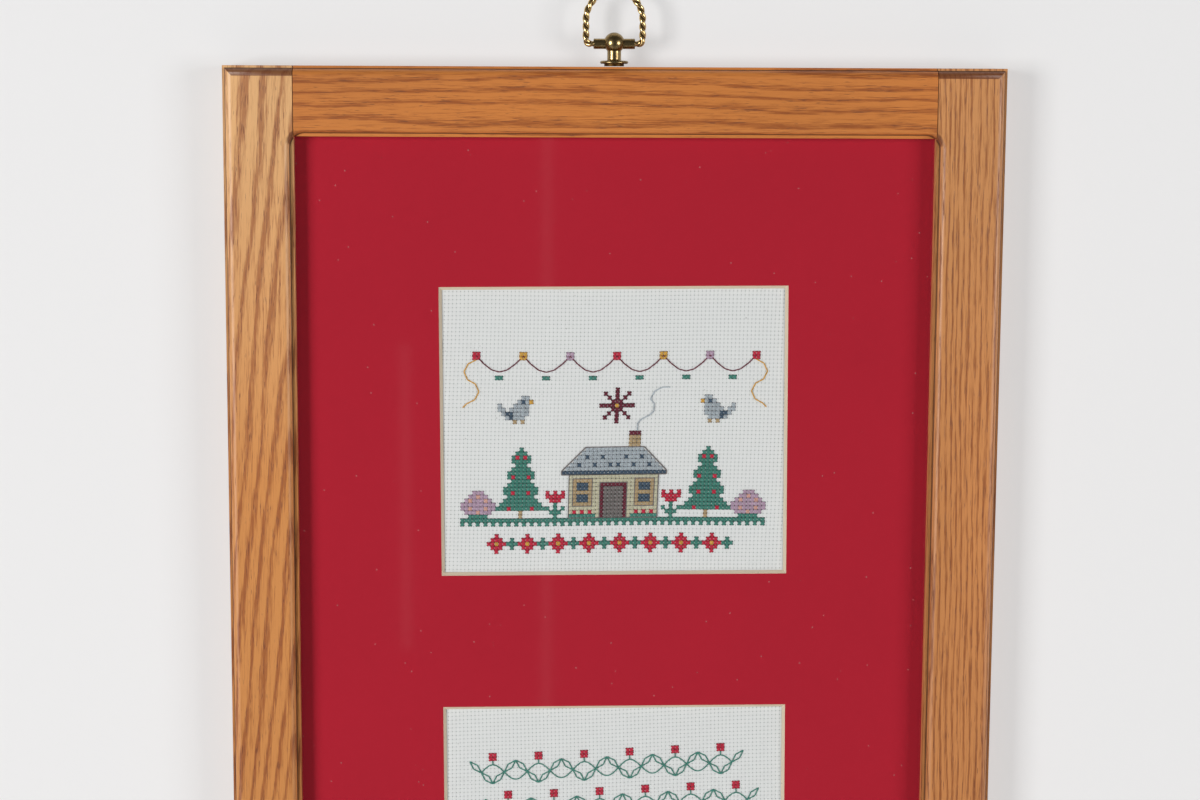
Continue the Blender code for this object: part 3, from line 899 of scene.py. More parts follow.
def brass_material(name, metal, tarnish_and_shade, roughness, tarnished):
    """Brass: polished, and browned in patches where it is tarnished. The groove attribute marks where
    it darkens further: painted shade in the ring's hollows and under the stud's flange, and the
    tarnished band on the stud's neck."""
    material, tree, place = new_material(name)
    patches = add_node(
        tree, "ShaderNodeTexNoise",
        {"Vector": place, "Scale": 1 / TARNISH_PATCH, "Detail": 4.0, "Roughness": 0.65},
    )
    patches = add_node(
        tree, "ShaderNodeMapRange",
        {"Value": patches, "From Min": 0.38, "From Max": 0.72, "To Max": tarnished},
        interpolation_type="SMOOTHSTEP",
    )
    groove = add_node(tree, "ShaderNodeAttribute", out="Fac", attribute_name="groove")
    brown = add_node(tree, "ShaderNodeMath", {0: patches, 1: groove}, operation="MAXIMUM", use_clamp=True)
    colour = add_node(tree, "ShaderNodeMixRGB", {"Fac": brown, "Color1": metal, "Color2": tarnish_and_shade})
    dull = add_node(
        tree, "ShaderNodeMapRange", {"Value": brown, "To Min": roughness, "To Max": roughness + 0.25},
    )
    shader = relief_surface(tree, colour, dull, patches, 0.15, 0.05 * MM, {"Metallic": 1.0})
    add_node(tree, "ShaderNodeOutputMaterial", {"Surface": shader})
    return material


def sight_plug():
    """The solid that the router clears round the opening: a flat step, then a quarter round that
    comes up to the front face, with the round corners that its bearing leaves."""
    profile = [(INNER_STEP, INNER_ROUND + INNER_DROP)]
    for step in range(ROUND_STEPS + 1):
        turn = math.pi / 2 * step / ROUND_STEPS
        profile.append((INNER_STEP + INNER_ROUND * (1 - math.cos(turn)), INNER_ROUND * (1 - math.sin(turn))))
    profile.append((INNER_STEP + INNER_ROUND, -PLUG_REACH))
    corner = SIGHT_HALF - Vector((SIGHT_CORNER, 0.0, SIGHT_CORNER))
    arcs = [
        (side_x * corner.x, side_z * corner.z, math.radians(start + 90 / CORNER_STEPS * step))
        for start, side_x, side_z in ((0, 1, 1), (90, -1, 1), (180, -1, -1), (270, 1, -1))
        for step in range(CORNER_STEPS + 1)
    ]
    points = [
        (
            FRAME_CENTRE.x + x + (SIGHT_CORNER + outset) * math.cos(turn),
            FRAME_FRONT + depth,
            FRAME_CENTRE.z + z + (SIGHT_CORNER + outset) * math.sin(turn),
        )
        for outset, depth in profile
        for x, z, turn in arcs
    ]
    size = len(arcs)
    faces = []
    for start in range(0, len(points) - size, size):
        for place in range(size):
            after = (place + 1) % size
            faces.append((start + place, start + after, start + size + after, start + size + place))
    faces += [tuple(range(size)), tuple(range(len(points) - size, len(points)))]
    mesh = bpy.data.meshes.new("sight_plug")
    mesh.from_pydata(points, [], faces)
    plug = new_object("sight_plug", mesh)
    make_active(plug)
    edit_mesh((bpy.ops.mesh.normals_make_consistent, {"inside": False}))
    return plug


class SAMPLER_OT_members(Operator):
    """Dresses the four oak members: sanded arrises, growth rings, dark end grain and quirk lines"""
    bl_idname = "sampler.members"
    bl_label = "Oak members"

    def execute(self, context):
        oak = context.scene.sampler_oak
        plug = sight_plug()
        for member in MEMBERS:
            piece = merged_copy(member.node, member.piece)
            apply_modifier(piece, "BOOLEAN", operation="DIFFERENCE", object=plug)
            apply_modifier(
                piece, "BEVEL", width=oak.arris, segments=1, limit_method="ANGLE",
                angle_limit=math.radians(40.0),
            )
            smooth(piece)
            dress(piece, member.slot, [oak_material(member, oak)], member.node)
        bpy.data.objects.remove(plug)
        return {"FINISHED"}


class SAMPLER_OT_mat(Operator):
    """Cuts the window mat with its two cream bevels out of crimson-faced card"""
    bl_idname = "sampler.mat"
    bl_label = "Window mat"

    def execute(self, context):
        settings = context.scene.sampler_mat
        piece = merged_copy("mat", "window_mat")
        face = card_material("crimson_face_paper", settings.face, settings.fibre, 0.85)
        core = card_material("cream_card_core", settings.core, settings.fibre, 0.9)
        dress(piece, "mat_card", [face, core], "mat")
        for polygon in piece.data.polygons:
            faces_front = polygon.normal.y < -0.99
            polygon.material_index = 0 if faces_front else 1
        return {"FINISHED"}


class SAMPLER_OT_flat_stock(Operator):
    """Finishes the glass, the mounting card and the backing board, whose plain shapes are right"""
    bl_idname = "sampler.flat_stock"
    bl_label = "Glass and boards"

    def execute(self, context):
        settings = context.scene.sampler_mat
        finishes = {
            "glass": glass_material(settings),
            "mount_card": card_material("cream_mounting_card", linear("E2DCCB"), settings.fibre, 0.9),
            "backing_board": hardboard_material(),
        }
        for node, material in finishes.items():
            frame["nodes"][node].data.materials.clear()
            frame["nodes"][node].data.materials.append(material)
        return {"FINISHED"}


def place_on_cloth(window, cloth, column, row):
    """X and Z of a point given in blocks right of and above the window's middle. The woven lines lean
    as each cloth was mounted, and wander a little."""
    low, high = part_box(window.node)
    block_width = cloth.width / cloth.columns
    block_height = cloth.height / cloth.rows
    lean, rise = math.radians(window.column_lean), math.radians(window.row_rise)
    x = column * block_width * math.cos(rise) + row * block_height * math.sin(lean)
    z = row * block_height * math.cos(lean) + column * block_width * math.sin(rise)
    x = x + cloth.drift * np.sin(row / WANDER_ACROSS[1] + column / WANDER_ACROSS[0])
    z = z + cloth.drift * np.sin(column / WANDER_UP[0] - row / WANDER_UP[1])
    return (low.x + high.x) / 2 + x, (low.z + high.z) / 2 + z


def block_relief(column, row):
    """How deep the cloth lies below its blocks: 1 in a needle hole, and less in the lines between."""
    across = np.abs(np.sin(math.pi * column))
    along = np.abs(np.sin(math.pi * row))
    full = math.sin(math.pi / QUADS_PER_BLOCK)
    return 1.0 - 0.5 * across * along / full**2 - 0.5 * np.maximum(across, along) / full


class SAMPLER_OT_cloths(Operator):
    """Weaves the two cloths: a pillow for each block, holes between them, and a flat back"""
    bl_idname = "sampler.cloths"
    bl_label = "Cloths"

    def execute(self, context):
        cloth = context.scene.sampler_cloth
        material = cloth_material(cloth)
        for window in (UPPER, LOWER):
            front, back = (corner.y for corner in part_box(window.node))
            deselect_all()
            bpy.ops.mesh.primitive_grid_add(
                x_subdivisions=cloth.columns * QUADS_PER_BLOCK, y_subdivisions=cloth.rows * QUADS_PER_BLOCK,
                size=1.0, rotation=(math.radians(90.0), 0.0, 0.0),
            )
            piece = context.object
            piece.name = "woven_cloth_" + window.name
            bpy.ops.object.transform_apply(location=True, rotation=True, scale=True)
            mesh = piece.data
            places = np.empty(len(mesh.vertices) * 3)
            mesh.vertices.foreach_get("co", places)
            places = places.reshape(-1, 3)
            column = places[:, 0] * cloth.columns
            row = places[:, 2] * cloth.rows
            hole_shift = (cloth.columns % 2) / 2
            places[:, 1] = front + cloth.relief * block_relief(column + hole_shift, row)
            places[:, 0], places[:, 2] = place_on_cloth(window, cloth, column, row)
            mesh.vertices.foreach_set("co", places.ravel())
            mesh.update()
            edit_mesh(
                (bpy.ops.mesh.region_to_loop, {}),
                (bpy.ops.mesh.extrude_edges_move, {}),
                (bpy.ops.transform.resize, {"value": (1.0, 0.0, 1.0), "center_override": (0.0, back, 0.0)}),
                (bpy.ops.mesh.edge_face_add, {}),
            )
            make_active(piece)
            bpy.ops.object.shade_smooth_by_angle(angle=math.radians(50.0))
            dress(piece, "stitched_cloth", [material], window.node)
        return {"FINISHED"}


def add_groove(piece, values):
    """Marks, from 0 to 1 at each vertex, where its material darkens: painted shade, and the stud's tarnished
    neck.
    """
    attribute = piece.data.attributes.new("groove", "FLOAT", "POINT")
    attribute.data.foreach_set("value", np.asarray(values, np.float32))


def model_leg(name, length, width, thick, press, rise):
    """One leg of a stitch along X, arched from hole to hole, with its front towards -Y. The middle of
    its front is pressed in where it should read as two strands."""
    deselect_all()
    bpy.ops.mesh.primitive_cylinder_add(
        vertices=6, radius=0.5, depth=1.0, rotation=(0.0, math.radians(90.0), 0.0),
    )
    leg = bpy.context.object
    leg.name = name
    bpy.ops.object.transform_apply(location=True, rotation=True, scale=True)
    for station in (-STITCH_STATIONS[1], 0.0, STITCH_STATIONS[1]):
        edit_mesh((bpy.ops.mesh.bisect, {"plane_co": (station, 0.0, 0.0), "plane_no": (1.0, 0.0, 0.0)}))
    for vertex in leg.data.vertices:
        along, depth, across = vertex.co
        depth *= press if abs(across) < 0.01 else 1.0
        shoulder = np.interp(abs(along), STITCH_STATIONS, STITCH_SHOULDERS)
        lift = np.interp(abs(along), STITCH_STATIONS, (rise, 0.0, -STITCH_DIVE))
        vertex.co = (
            math.copysign(shoulder, along) * length,
            depth * thick - thick / 2 - lift,
            across * width * np.interp(abs(along), STITCH_STATIONS, STITCH_TAPERS),
        )
    bpy.ops.object.shade_smooth()
    return leg


def model_cross(cloth, thread):
    """The cross that is copied to every charted cell: one leg, and a second that rises over it, both
    with dark tips in the needle holes."""
    block_width = cloth.width / cloth.columns
    block_height = cloth.height / cloth.rows
    diagonal = math.hypot(block_width, block_height)
    slant = math.atan2(block_height, block_width)
    legs = []
    for name, turn, rise in (("under_leg", slant, 0.0), ("over_leg", -slant, thread.thick * OVER_LEG_RISE)):
        leg = model_leg(name, diagonal, thread.width, thread.thick, STRAND_PRESS, rise)
        add_groove(leg, [abs(vertex.co.x) > STITCH_TIP * diagonal for vertex in leg.data.vertices])
        leg.rotation_euler = (0.0, turn, 0.0)
        bpy.ops.object.transform_apply(location=True, rotation=True, scale=True)
        legs.append(leg)
    make_active(legs[0])
    legs[1].select_set(True)
    bpy.ops.object.join()
    return legs[0]


def stitch_tree(template):
    """Geometry nodes that set a copy of the template at each point, with the point's turn and reach."""
    tree = bpy.data.node_groups.new("Set Stitches", "GeometryNodeTree")
    for direction in ("INPUT", "OUTPUT"):
        tree.interface.new_socket("Geometry", in_out=direction, socket_type="NodeSocketGeometry")
    points = add_node(tree, "NodeGroupInput")
    turn, reach = (
        add_node(tree, "GeometryNodeInputNamedAttribute", {"Name": name}, data_type="FLOAT_VECTOR")
        for name in ("turn", "reach")
    )
    stitch = add_node(tree, "GeometryNodeObjectInfo", {"Object": template}, out="Geometry")
    copies = add_node(
        tree, "GeometryNodeInstanceOnPoints",
        {"Points": points, "Instance": stitch, "Rotation": turn, "Scale": reach},
    )
    whole = add_node(tree, "GeometryNodeRealizeInstances", {"Geometry": copies})
    add_node(tree, "NodeGroupOutput", {"Geometry": whole})
    return tree


def sew(name, template, points, turns, reaches, material):
    """One joined piece of stitches, a copy of the template for each point."""
    mesh = bpy.data.meshes.new(name)
    mesh.from_pydata(points, [], [])
    for label, values in (("turn", turns), ("reach", reaches)):
        attribute = mesh.attributes.new(label, "FLOAT_VECTOR", "POINT")
        attribute.data.foreach_set("vector", np.asarray(values, np.float32).ravel())
    piece = new_object(name, mesh)
    tree = stitch_tree(template)
    apply_modifier(piece, "NODES", node_group=tree)
    bpy.data.node_groups.remove(tree)
    dress(piece, "stitched_cloth", [material])


def chart_cells(motif):
    """(letter, column, row) for each cross of a motif that stands on the cloth."""
    for depth, line in enumerate(motif.chart.split()):
        if motif.half:
            line = line + line[-2::-1]
        if motif.flipped:
            line = line[::-1]
        for place, letter in enumerate(line):
            if letter != ".":
                yield letter, motif.left + place, motif.top - depth


def thread_for(letter):
    """The thread's material, made the first time it is asked for."""
    colour_name, code = THREADS[letter]
    ready = bpy.data.materials.get("stranded_cotton_" + colour_name)
    return ready or thread_material(colour_name, linear(code))


def sew_crosses(window, cells, context):
    """Sews crosses on a window's cloth, one joined piece for each colour."""
    cloth, thread = context.scene.sampler_cloth, context.scene.sampler_thread
    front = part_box(window.node)[0].y
    template = model_cross(cloth, thread)
    chance = np.random.default_rng(len(window.name))
    for letter, (colour_name, _) in THREADS.items():
        places = [
            place_on_cloth(window, cloth, column + 0.5, row + 0.5)
            for mark, column, row in cells
            if mark == letter
        ]
        if not places:
            continue
        points = [(x, front, z) for x, z in places]
        turns = np.zeros((len(points), 3))
        turns[:, 1] = chance.normal(-math.radians(window.row_rise), thread.jitter, len(points))
        reaches = np.ones((len(points), 3)) * chance.uniform(*TENSION, (len(points), 1))
        name = f"crosses_{window.name}_{colour_name}"
        sew(name, template, points, turns, reaches, thread_for(letter))
    bpy.data.objects.remove(template)


def back_stitches(route):
    """(start, end) of each back stitch along a route of holes, none longer than a block or its diagonal."""
    for (start_column, start_row), (end_column, end_row) in zip(route, route[1:]):
        columns, rows = end_column - start_column, end_row - start_row
        count = max(1, round(max(abs(columns), abs(rows))))
        holes = [
            (start_column + columns * step / count, start_row + rows * step / count)
            for step in range(count + 1)
        ]
        yield from zip(holes, holes[1:])


def sew_lines(window, letter, routes, context, label="lines"):
    """Sews back stitch routes in one colour on a window's cloth."""
    cloth, thread = context.scene.sampler_cloth, context.scene.sampler_thread
    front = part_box(window.node)[0].y
    template = model_leg("back_stitch", 1.0, thread.back_width, thread.thick, 1.0, BACK_STITCH_RISE)
    points, turns, reaches = [], [], []
    for route in routes:
        for start, end in back_stitches(route):
            start_x, start_z = place_on_cloth(window, cloth, *start)
            end_x, end_z = place_on_cloth(window, cloth, *end)
            points.append(((start_x + end_x) / 2, front, (start_z + end_z) / 2))
            turns.append((0.0, -math.atan2(end_z - start_z, end_x - start_x), 0.0))
            length = math.hypot(end_x - start_x, end_z - start_z)
            reaches.append((length * BACK_STITCH_OVERLAP, 1.0, 1.0))
    name = f"{label}_{window.name}_{THREADS[letter][0]}"
    sew(name, template, points, turns, reaches, thread_for(letter))
    bpy.data.objects.remove(template)


def outline(left, bottom, right, top):
    """Holes at the corners of an upright rectangle, and back to the first."""
    return [(left, bottom), (left, top), (right, top), (right, bottom), (left, bottom)]


def bud(letter, column, row):
    """Four crosses in a square, two each side of a column, from a row upwards."""
    return [(letter, column + side, row + up) for up in (0, 1) for side in (-1, 0)]


def swag(left, width, top, dip):
    """Holes along one hanging curve between two points at the same height."""
    return [
        (left + step, top - dip * math.sin(math.pi * step / width)) for step in range(0, width + 1, 2)
    ]


def tail(left, top, side):
    """A loose thread end that hangs in a curl, as holes from its upper end."""
    return [(left + side * column, top + row) for column, row in TAIL]


class SAMPLER_OT_upper_stitches(Operator):
    """Sews the upper cloth: a cottage between firs, with birds, a star, swags and a border"""
    bl_idname = "sampler.upper_stitches"
    bl_label = "Upper stitches"

    def execute(self, context):
        borders = [
            Motif(BORDER, BORDER_LEFT + BORDER_WIDTH * repeat, BORDER_TOP, False, False)
            for repeat in range(BORDER_REPEATS)
        ]
        cells = [cell for motif in (*UPPER_MOTIFS, *borders) for cell in chart_cells(motif)]
        first, last = GROUND_ENDS
        cells += [("G", column, GROUND_ROW) for column in range(first, last + 1)]
        cells += [("G", column, GROUND_ROW - 1) for column in range(first, last + 1, 2)]
        swags = []
        for index in range(SWAG_COUNT + 1):
            left = SWAG_LEFT + SWAG_WIDTH * index
            cells += bud(SWAG_BUDS[index % len(SWAG_BUDS)], left, SWAG_TOP - 1)
            if index < SWAG_COUNT:
                swags.append(swag(left, SWAG_WIDTH, SWAG_TOP, SWAG_DIP))
                leaf_column = left + SWAG_WIDTH // 2
                cells += [("G", leaf_column + side, SWAG_TOP - SWAG_DIP - 2) for side in (-1, 0)]
        sew_crosses(UPPER, cells, context)
        walls = outline(-11, -22, 12, -11)
        door = outline(-3, -22, 4, -13)
        panes = [outline(side, -19, side + 5, -12) for side in (-10, 6)]
        sew_lines(UPPER, "K", [ROOF, walls, door, *panes], context)
        sew_lines(UPPER, "M", swags, context)
        tails = [tail(-side * SWAG_LEFT, SWAG_TOP - 1, side) for side in (-1, 1)]
        sew_lines(UPPER, "Y", tails, context)
        sew_lines(UPPER, "S", [SMOKE], context)
        return {"FINISHED"}


def vine(left, right, base):
    """A waving stem, and the pointed leaves that stand on both sides of its slopes."""
    stem = [
        (column, base + VINE_SWING * math.sin(2 * math.pi * (column - left) / VINE_WAVE))
        for column in range(left, right + 1)
    ]
    leaves = []
    for index, root in enumerate(range(left, right + 1, VINE_WAVE // 2)):
        across = -1 if index % 2 == 0 else 1
        for side in (-1, 1):
            leaves.append([(root + across * side * column, base + side * row) for column, row in LEAF])
    return [stem, *leaves]


class SAMPLER_OT_lower_stitches(Operator):
    """Sews the lower cloth: rows of green back stitch vines with crimson buds"""
    bl_idname = "sampler.lower_stitches"
    bl_label = "Lower stitches"

    def execute(self, context):
        routes, cells = [], []
        for index, base in enumerate(VINE_ROWS):
            left, right = (end + VINE_SHIFT * (index % 2) for end in VINE_ENDS)
            routes += vine(left, right, base)
            for crest in range(left + VINE_WAVE // 4, right, VINE_WAVE):
                top = base + VINE_SWING
                routes.append([(crest, top), (crest, top + 1)])
                cells += bud("C", crest, top + 1)
        sew_lines(LOWER, "G", routes, context, "vines")
        sew_crosses(LOWER, cells, context)
        return {"FINISHED"}


def stud_profile(hanger):
    """(radius, height) pairs from the crown of the ball down to the seat's underside."""
    join = math.pi - math.asin(hanger.neck / hanger.ball)
    ball = [
        (hanger.ball * math.sin(turn), hanger.ball_height + hanger.ball * math.cos(turn))
        for turn in (join * step / 20 for step in range(21))
    ]
    cove = [
        (hanger.neck + COVE * (1 - math.cos(turn)), FLANGE_TOP + COVE * (1 - math.sin(turn)))
        for turn in (math.radians(15 * step) for step in range(7))
    ]
    rim = [
        (hanger.flange - FLANGE_HALF * (1 - math.cos(turn)), FLANGE_MIDDLE + FLANGE_HALF * math.sin(turn))
        for turn in (math.radians(90 - 30 * step) for step in range(7))
    ]
    return [
        *ball, *cove, (hanger.flange - FLANGE_SHOULDER, FLANGE_TOP - FLANGE_FALL), *rim,
        (hanger.seat + SEAT_CHAMFER, FLANGE_UNDER), (hanger.seat, FLANGE_UNDER),
        (hanger.seat, SEAT_FOOT), (0.0, SEAT_FOOT),
    ]


def spin_profile(name, profile, base, steps, upright=True):
    """A turned piece: the profile is drawn as an edge chain and spun about the upright or the X axis
    through the base's height."""
    if upright:
        chain = [(radius, 0.0, base + height) for radius, height in profile]
        axis = (0.0, 0.0, 1.0)
    else:
        chain = [(height, 0.0, base + radius) for radius, height in profile]
        axis = (1.0, 0.0, 0.0)
    mesh = bpy.data.meshes.new(name)
    mesh.from_pydata(chain, [(index, index + 1) for index in range(len(chain) - 1)], [])
    piece = new_object(name, mesh)
    make_active(piece)
    spin = {"steps": steps, "angle": 2 * math.pi, "center": (0.0, 0.0, base), "axis": axis}
    edit_mesh(
        (bpy.ops.mesh.spin, spin),
        (bpy.ops.mesh.select_all, {"action": "SELECT"}),
        (bpy.ops.mesh.remove_doubles, {"threshold": WELD}),
        (bpy.ops.mesh.normals_make_consistent, {"inside": False}),
    )
    return piece


def arm_profile(hanger, reach):
    """(radius, distance along X) pairs of both arms in one, from socket to socket, with eased rims."""
    half = [
        (0.0, reach - SOCKET_DEPTH),
        (SOCKET_RADIUS, reach - SOCKET_DEPTH),
        (SOCKET_RADIUS, reach - ARM_EASE),
        (SOCKET_RADIUS + ARM_EASE, reach),
        (hanger.arm - ARM_EASE, reach),
        (hanger.arm - 0.3 * ARM_EASE, reach - 0.3 * ARM_EASE),
        (hanger.arm, reach - ARM_EASE),
    ]
    return [*half, *((radius, -distance) for radius, distance in reversed(half))]


class SAMPLER_OT_stud(Operator):
    """Turns the brass stud with its flange, neck, ball and two bored arms"""
    bl_idname = "sampler.stud"
    bl_label = "Brass stud"

    def execute(self, context):
        hanger = context.scene.sampler_hanger
        stud = spin_profile("brass_stud", stud_profile(hanger), FRAME_TOP, steps=64)
        arms_z = FRAME_TOP + hanger.arm_height
        arms = spin_profile("arms", arm_profile(hanger, STUD_HIGH.x), arms_z, steps=40, upright=False)
        apply_modifier(stud, "BOOLEAN", operation="UNION", object=arms)
        bpy.data.objects.remove(arms)
        smooth(stud, angle=32.0)
        heights = np.array([vertex.co.z - FRAME_TOP for vertex in stud.data.vertices])
        radii = np.array([math.hypot(vertex.co.x, vertex.co.y) for vertex in stud.data.vertices])
        # Painted shade on the seat under the flange; the band on the neck under the ball is tarnished
        neck = np.clip(1 - np.abs(heights - NECK_TARNISH) / NECK_TARNISH_SPREAD, 0, 1)
        neck *= radii < hanger.ball
        seat = (heights < SEAT_SHADE_HEIGHT) * 1.0
        add_groove(stud, np.maximum(neck * 0.8, seat))
        finish = brass_material("aged_brass", hanger.stud_brass_shaded, hanger.tarnish_and_shade, 0.24, 0.6)
        dress(stud, "aged_brass", [finish], "hanger_stud")
        return {"FINISHED"}


def ring_line(hanger):
    """Points of the ring's middle line, evenly spaced from one socket to the other."""
    wire = hanger.strand + hanger.strand_offset
    half = RING_HIGH.x - wire
    foot_z = FRAME_TOP + hanger.arm_height
    shoulder_z = RING_HIGH.z - wire - half
    corner = [
        (-half + RING_BEND * (1 - math.sin(turn)), foot_z + RING_BEND * (1 - math.cos(turn)))
        for turn in (math.radians(10 * step) for step in range(10))
    ]
    crown = [
        (-half * math.cos(turn), shoulder_z + half * math.sin(turn))
        for turn in (math.radians(5 * step) for step in range(19))
    ]
    left = [(RING_TUCK - STUD_HIGH.x, foot_z), *corner, *crown]
    route = np.array(left + [(-x, z) for x, z in reversed(left[:-1])])
    lengths = np.concatenate(([0.0], np.cumsum(np.hypot(*np.diff(route, axis=0).T))))
    count = round(lengths[-1] / hanger.lay * STEPS_PER_LAY)
    stations = np.linspace(0.0, lengths[-1], count + 1)
    line = np.stack([np.interp(stations, lengths, route[:, axis]) for axis in (0, 1)], axis=1)
    return line, stations


def lay_strand(hanger, line, stations, start):
    """One strand, wound round the ring's line from its starting turn."""
    along = np.gradient(line, axis=0)
    along /= np.linalg.norm(along, axis=1)[:, None]
    turn = start + 2 * math.pi * (stations - stations[-1] / 2) / hanger.lay
    side = hanger.strand_offset * np.cos(turn)
    depth = hanger.strand_offset * np.sin(turn)
    curve = bpy.data.curves.new("strand", "CURVE")
    curve.dimensions = "3D"
    curve.bevel_depth = hanger.strand
    curve.bevel_resolution = 4
    curve.use_fill_caps = True
    spline = curve.splines.new("POLY")
    spline.points.add(len(line) - 1)
    for point, place, heading, out, deep in zip(spline.points, line, along, side, depth):
        point.co = (place[0] - heading[1] * out, deep, place[1] + heading[0] * out, 1.0)
    make_active(new_object("strand", curve))
    bpy.ops.object.convert(target="MESH")
    edit_mesh((bpy.ops.mesh.remove_doubles, {"threshold": WELD}))
    return bpy.context.object


class SAMPLER_OT_ring(Operator):
    """Lays two brass strands round each other and bends them into the ring"""
    bl_idname = "sampler.ring"
    bl_label = "Twisted ring"

    def execute(self, context):
        hanger = context.scene.sampler_hanger
        line, stations = ring_line(hanger)
        ring, second = [lay_strand(hanger, line, stations, start) for start in (0.0, math.pi)]
        make_active(ring)
        second.select_set(True)
        bpy.ops.object.join()
        ring.name = "brass_ring"
        places = np.array([tuple(vertex.co) for vertex in ring.data.vertices])
        middle = np.stack([line[:, 0], np.zeros(len(line)), line[:, 1]], axis=1)
        nearest = np.min(np.linalg.norm(places[:, None, :] - middle[None, :, :], axis=2), axis=1)
        wire = hanger.strand + hanger.strand_offset
        # Painted shade in the hollows between the strands, darkest nearest the ring's line
        add_groove(ring, np.clip((HOLLOW_EDGE - nearest / wire) / HOLLOW_FADE, 0, 1))
        smooth(ring, angle=60.0)
        finish = brass_material("bright_brass", hanger.bright, hanger.tarnish_and_shade, 0.2, 0.3)
        dress(ring, "bright_brass", [finish], "hanger_ring")
        return {"FINISHED"}


def area_light(name, place, target, size, power):
    """A soft white rectangle of light that faces the target and isn't itself seen."""
    light = bpy.data.lights.new(name, "AREA")
    light.shape = "RECTANGLE"
    light.size, light.size_y = size
    light.energy = power
    lamp = new_object(name, light)
    lamp.location = place
    lamp.rotation_euler = (Vector(target) - Vector(place)).to_track_quat("-Z", "Y").to_euler()
    lamp.visible_camera = False


def matt_paint(name, colour, glows):
    """Matt emulsion paint with a faint roller texture. The wall, which glows, is see-through from
    behind, so that the back of the part can be looked at."""
    material, tree, place = new_material(name)
    roller = add_node(
        tree, "ShaderNodeTexNoise", {"Vector": place, "Scale": 1 / ROLLER_STIPPLE, "Detail": 3.0},
    )
    shader = relief_surface(tree, colour, 0.95, roller, 0.15, 0.3 * MM, {"Specular IOR Level": 0.1})
    if glows:
        glow = add_node(tree, "ShaderNodeEmission", {"Color": grey(1.0), "Strength": WALL_GLOW})
        shader = add_node(tree, "ShaderNodeAddShader", {0: shader, 1: glow})
        behind = add_node(tree, "ShaderNodeNewGeometry", out="Backfacing")
        clear = add_node(tree, "ShaderNodeBsdfTransparent")
        shader = add_node(tree, "ShaderNodeMixShader", {0: behind, 1: shader, 2: clear})
    add_node(tree, "ShaderNodeOutputMaterial", {"Surface": shader})
    return material


def build_room(settings):
    """The wall that the frame hangs on and a floor far below it."""
    upright, level = (math.radians(90.0), 0.0, 0.0), (0.0, 0.0, 0.0)
    for name, size, place, turn, colour in (
        ("wall", 6.0, (0.0, FRAME_BACK + WALL_GAP, 0.0), upright, settings.wall),
        ("floor", 5.0, (0.0, 0.0, FLOOR_LEVEL), level, settings.floor),
    ):
        deselect_all()
        bpy.ops.mesh.primitive_plane_add(size=size, location=place, rotation=turn)
        plane = bpy.context.object
        plane.name = name
        plane.data.materials.append(matt_paint(name + "_paint", colour, name == "wall"))


def light_room(settings):
    """Two soft boxes in front, the slits that the glass mirrors, and two soft boxes behind."""
    middle = tuple(FRAME_CENTRE)
    area_light("key", (-2.1, -2.1, -0.1), middle, (0.9, 1.2), settings.key_power)
    area_light("fill", (2.2, -1.9, -0.1), middle, (1.1, 1.2), settings.fill_power)
    for name, x, z, height in (("slit_near", -0.028, -0.33, 1.1), ("slit_far", -0.187, -0.52, 0.35)):
        watts = SLIT_GLOW * math.pi * SLIT_WIDTH * height
        area_light(name, (x, SLIT_PLACE, z), (x, 0.0, z), (SLIT_WIDTH, height), watts)
    area_light("back_left", (-1.3, 1.6, 0.6), middle, (1.0, 1.0), 26.0)
    area_light("back_right", (1.3, 1.6, 0.3), middle, (1.0, 1.0), 20.0)


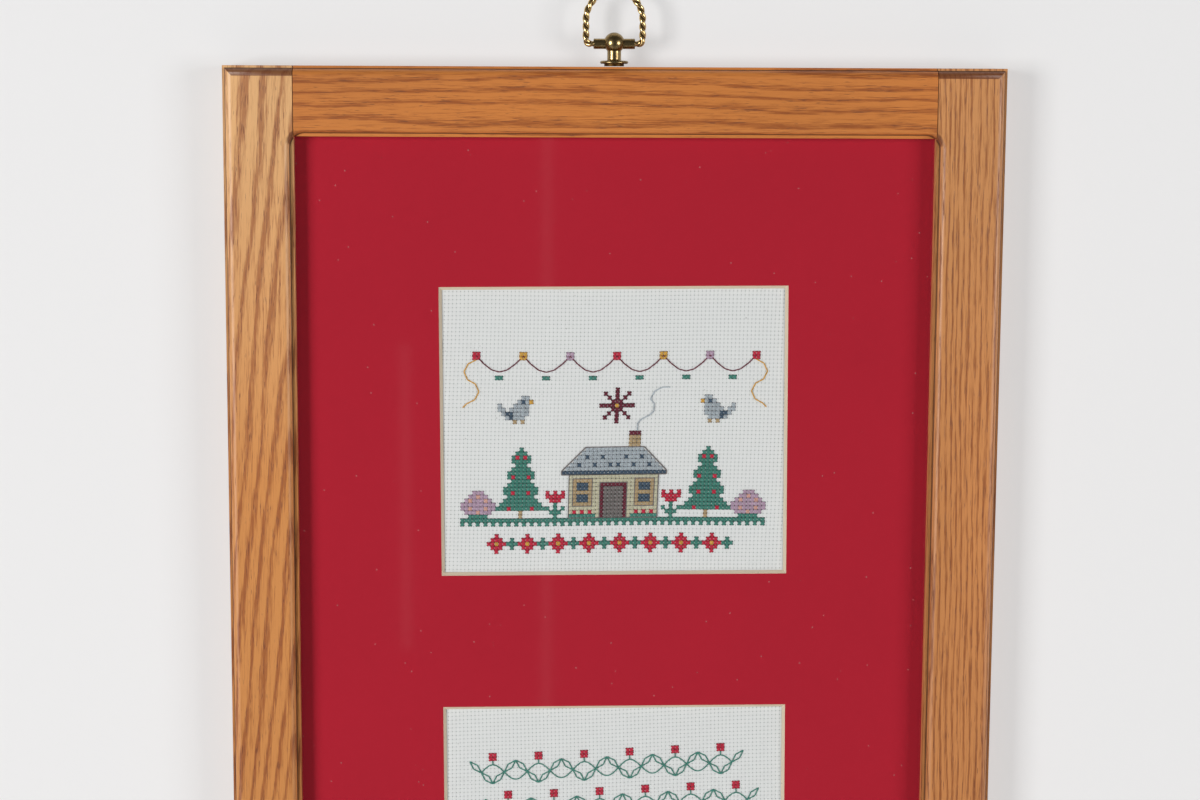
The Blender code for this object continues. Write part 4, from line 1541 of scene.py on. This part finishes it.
def studio_sky():
    """White surroundings whose strength depends on what sees them."""
    world = bpy.data.worlds.new("studio")
    world.use_nodes = True
    tree = world.node_tree
    tree.nodes.clear()
    strength = SKY_SHINE
    for ray, change in (("Is Diffuse Ray", SKY_DIMMED), ("Is Camera Ray", SKY_SEEN)):
        seen = add_node(tree, "ShaderNodeLightPath", out=ray)
        settings = {0: seen, 1: change, 2: strength}
        strength = add_node(tree, "ShaderNodeMath", settings, operation="MULTIPLY_ADD")
    sky = add_node(tree, "ShaderNodeBackground", {"Color": grey(1.0), "Strength": strength})
    add_node(tree, "ShaderNodeOutputWorld", {"Surface": sky})
    return world


class SAMPLER_OT_stage(Operator):
    """Sets up the pale wall and floor, the soft lights and the camera"""
    bl_idname = "sampler.stage"
    bl_label = "Stage"

    def execute(self, context):
        scene = context.scene
        settings = scene.sampler_stage
        build_room(settings)
        light_room(settings)
        scene.world = studio_sky()
        scene.view_settings.view_transform = "Standard"
        lens = bpy.data.cameras.new("camera")
        lens.lens = settings.lens
        lens.sensor_width = SENSOR_WIDTH
        camera = new_object("camera", lens)
        camera.location = settings.camera_place
        camera.rotation_euler = settings.camera_turn
        scene.camera = camera
        return {"FINISHED"}


class SAMPLER_PT_pieces(Panel):
    """Lists the operators that make the sampler, in order"""
    bl_label = "Framed sampler"
    bl_idname = "SAMPLER_PT_pieces"
    bl_space_type = "VIEW_3D"
    bl_region_type = "UI"
    bl_category = "Sampler"

    def draw(self, context):
        for operator in OPERATORS:
            self.layout.operator(operator.bl_idname)


SETTINGS = {
    "sampler_oak": SamplerOak,
    "sampler_mat": SamplerMat,
    "sampler_cloth": SamplerCloth,
    "sampler_thread": SamplerThread,
    "sampler_hanger": SamplerHanger,
    "sampler_stage": SamplerStage,
}
OPERATORS = (
    SAMPLER_OT_stage,
    SAMPLER_OT_members,
    SAMPLER_OT_flat_stock,
    SAMPLER_OT_mat,
    SAMPLER_OT_cloths,
    SAMPLER_OT_upper_stitches,
    SAMPLER_OT_lower_stitches,
    SAMPLER_OT_stud,
    SAMPLER_OT_ring,
)
CLASSES = (*SETTINGS.values(), *OPERATORS, SAMPLER_PT_pieces)


def register():
    for item in CLASSES:
        bpy.utils.register_class(item)
    for name, group in SETTINGS.items():
        setattr(bpy.types.Scene, name, PointerProperty(type=group))


def unregister():
    for name in SETTINGS:
        delattr(bpy.types.Scene, name)
    for item in reversed(CLASSES):
        bpy.utils.unregister_class(item)


def main():
    register()
    for operator in OPERATORS:
        category, name = operator.bl_idname.split(".")
        getattr(getattr(bpy.ops, category), name)()


if __name__ == "__main__":
    main()
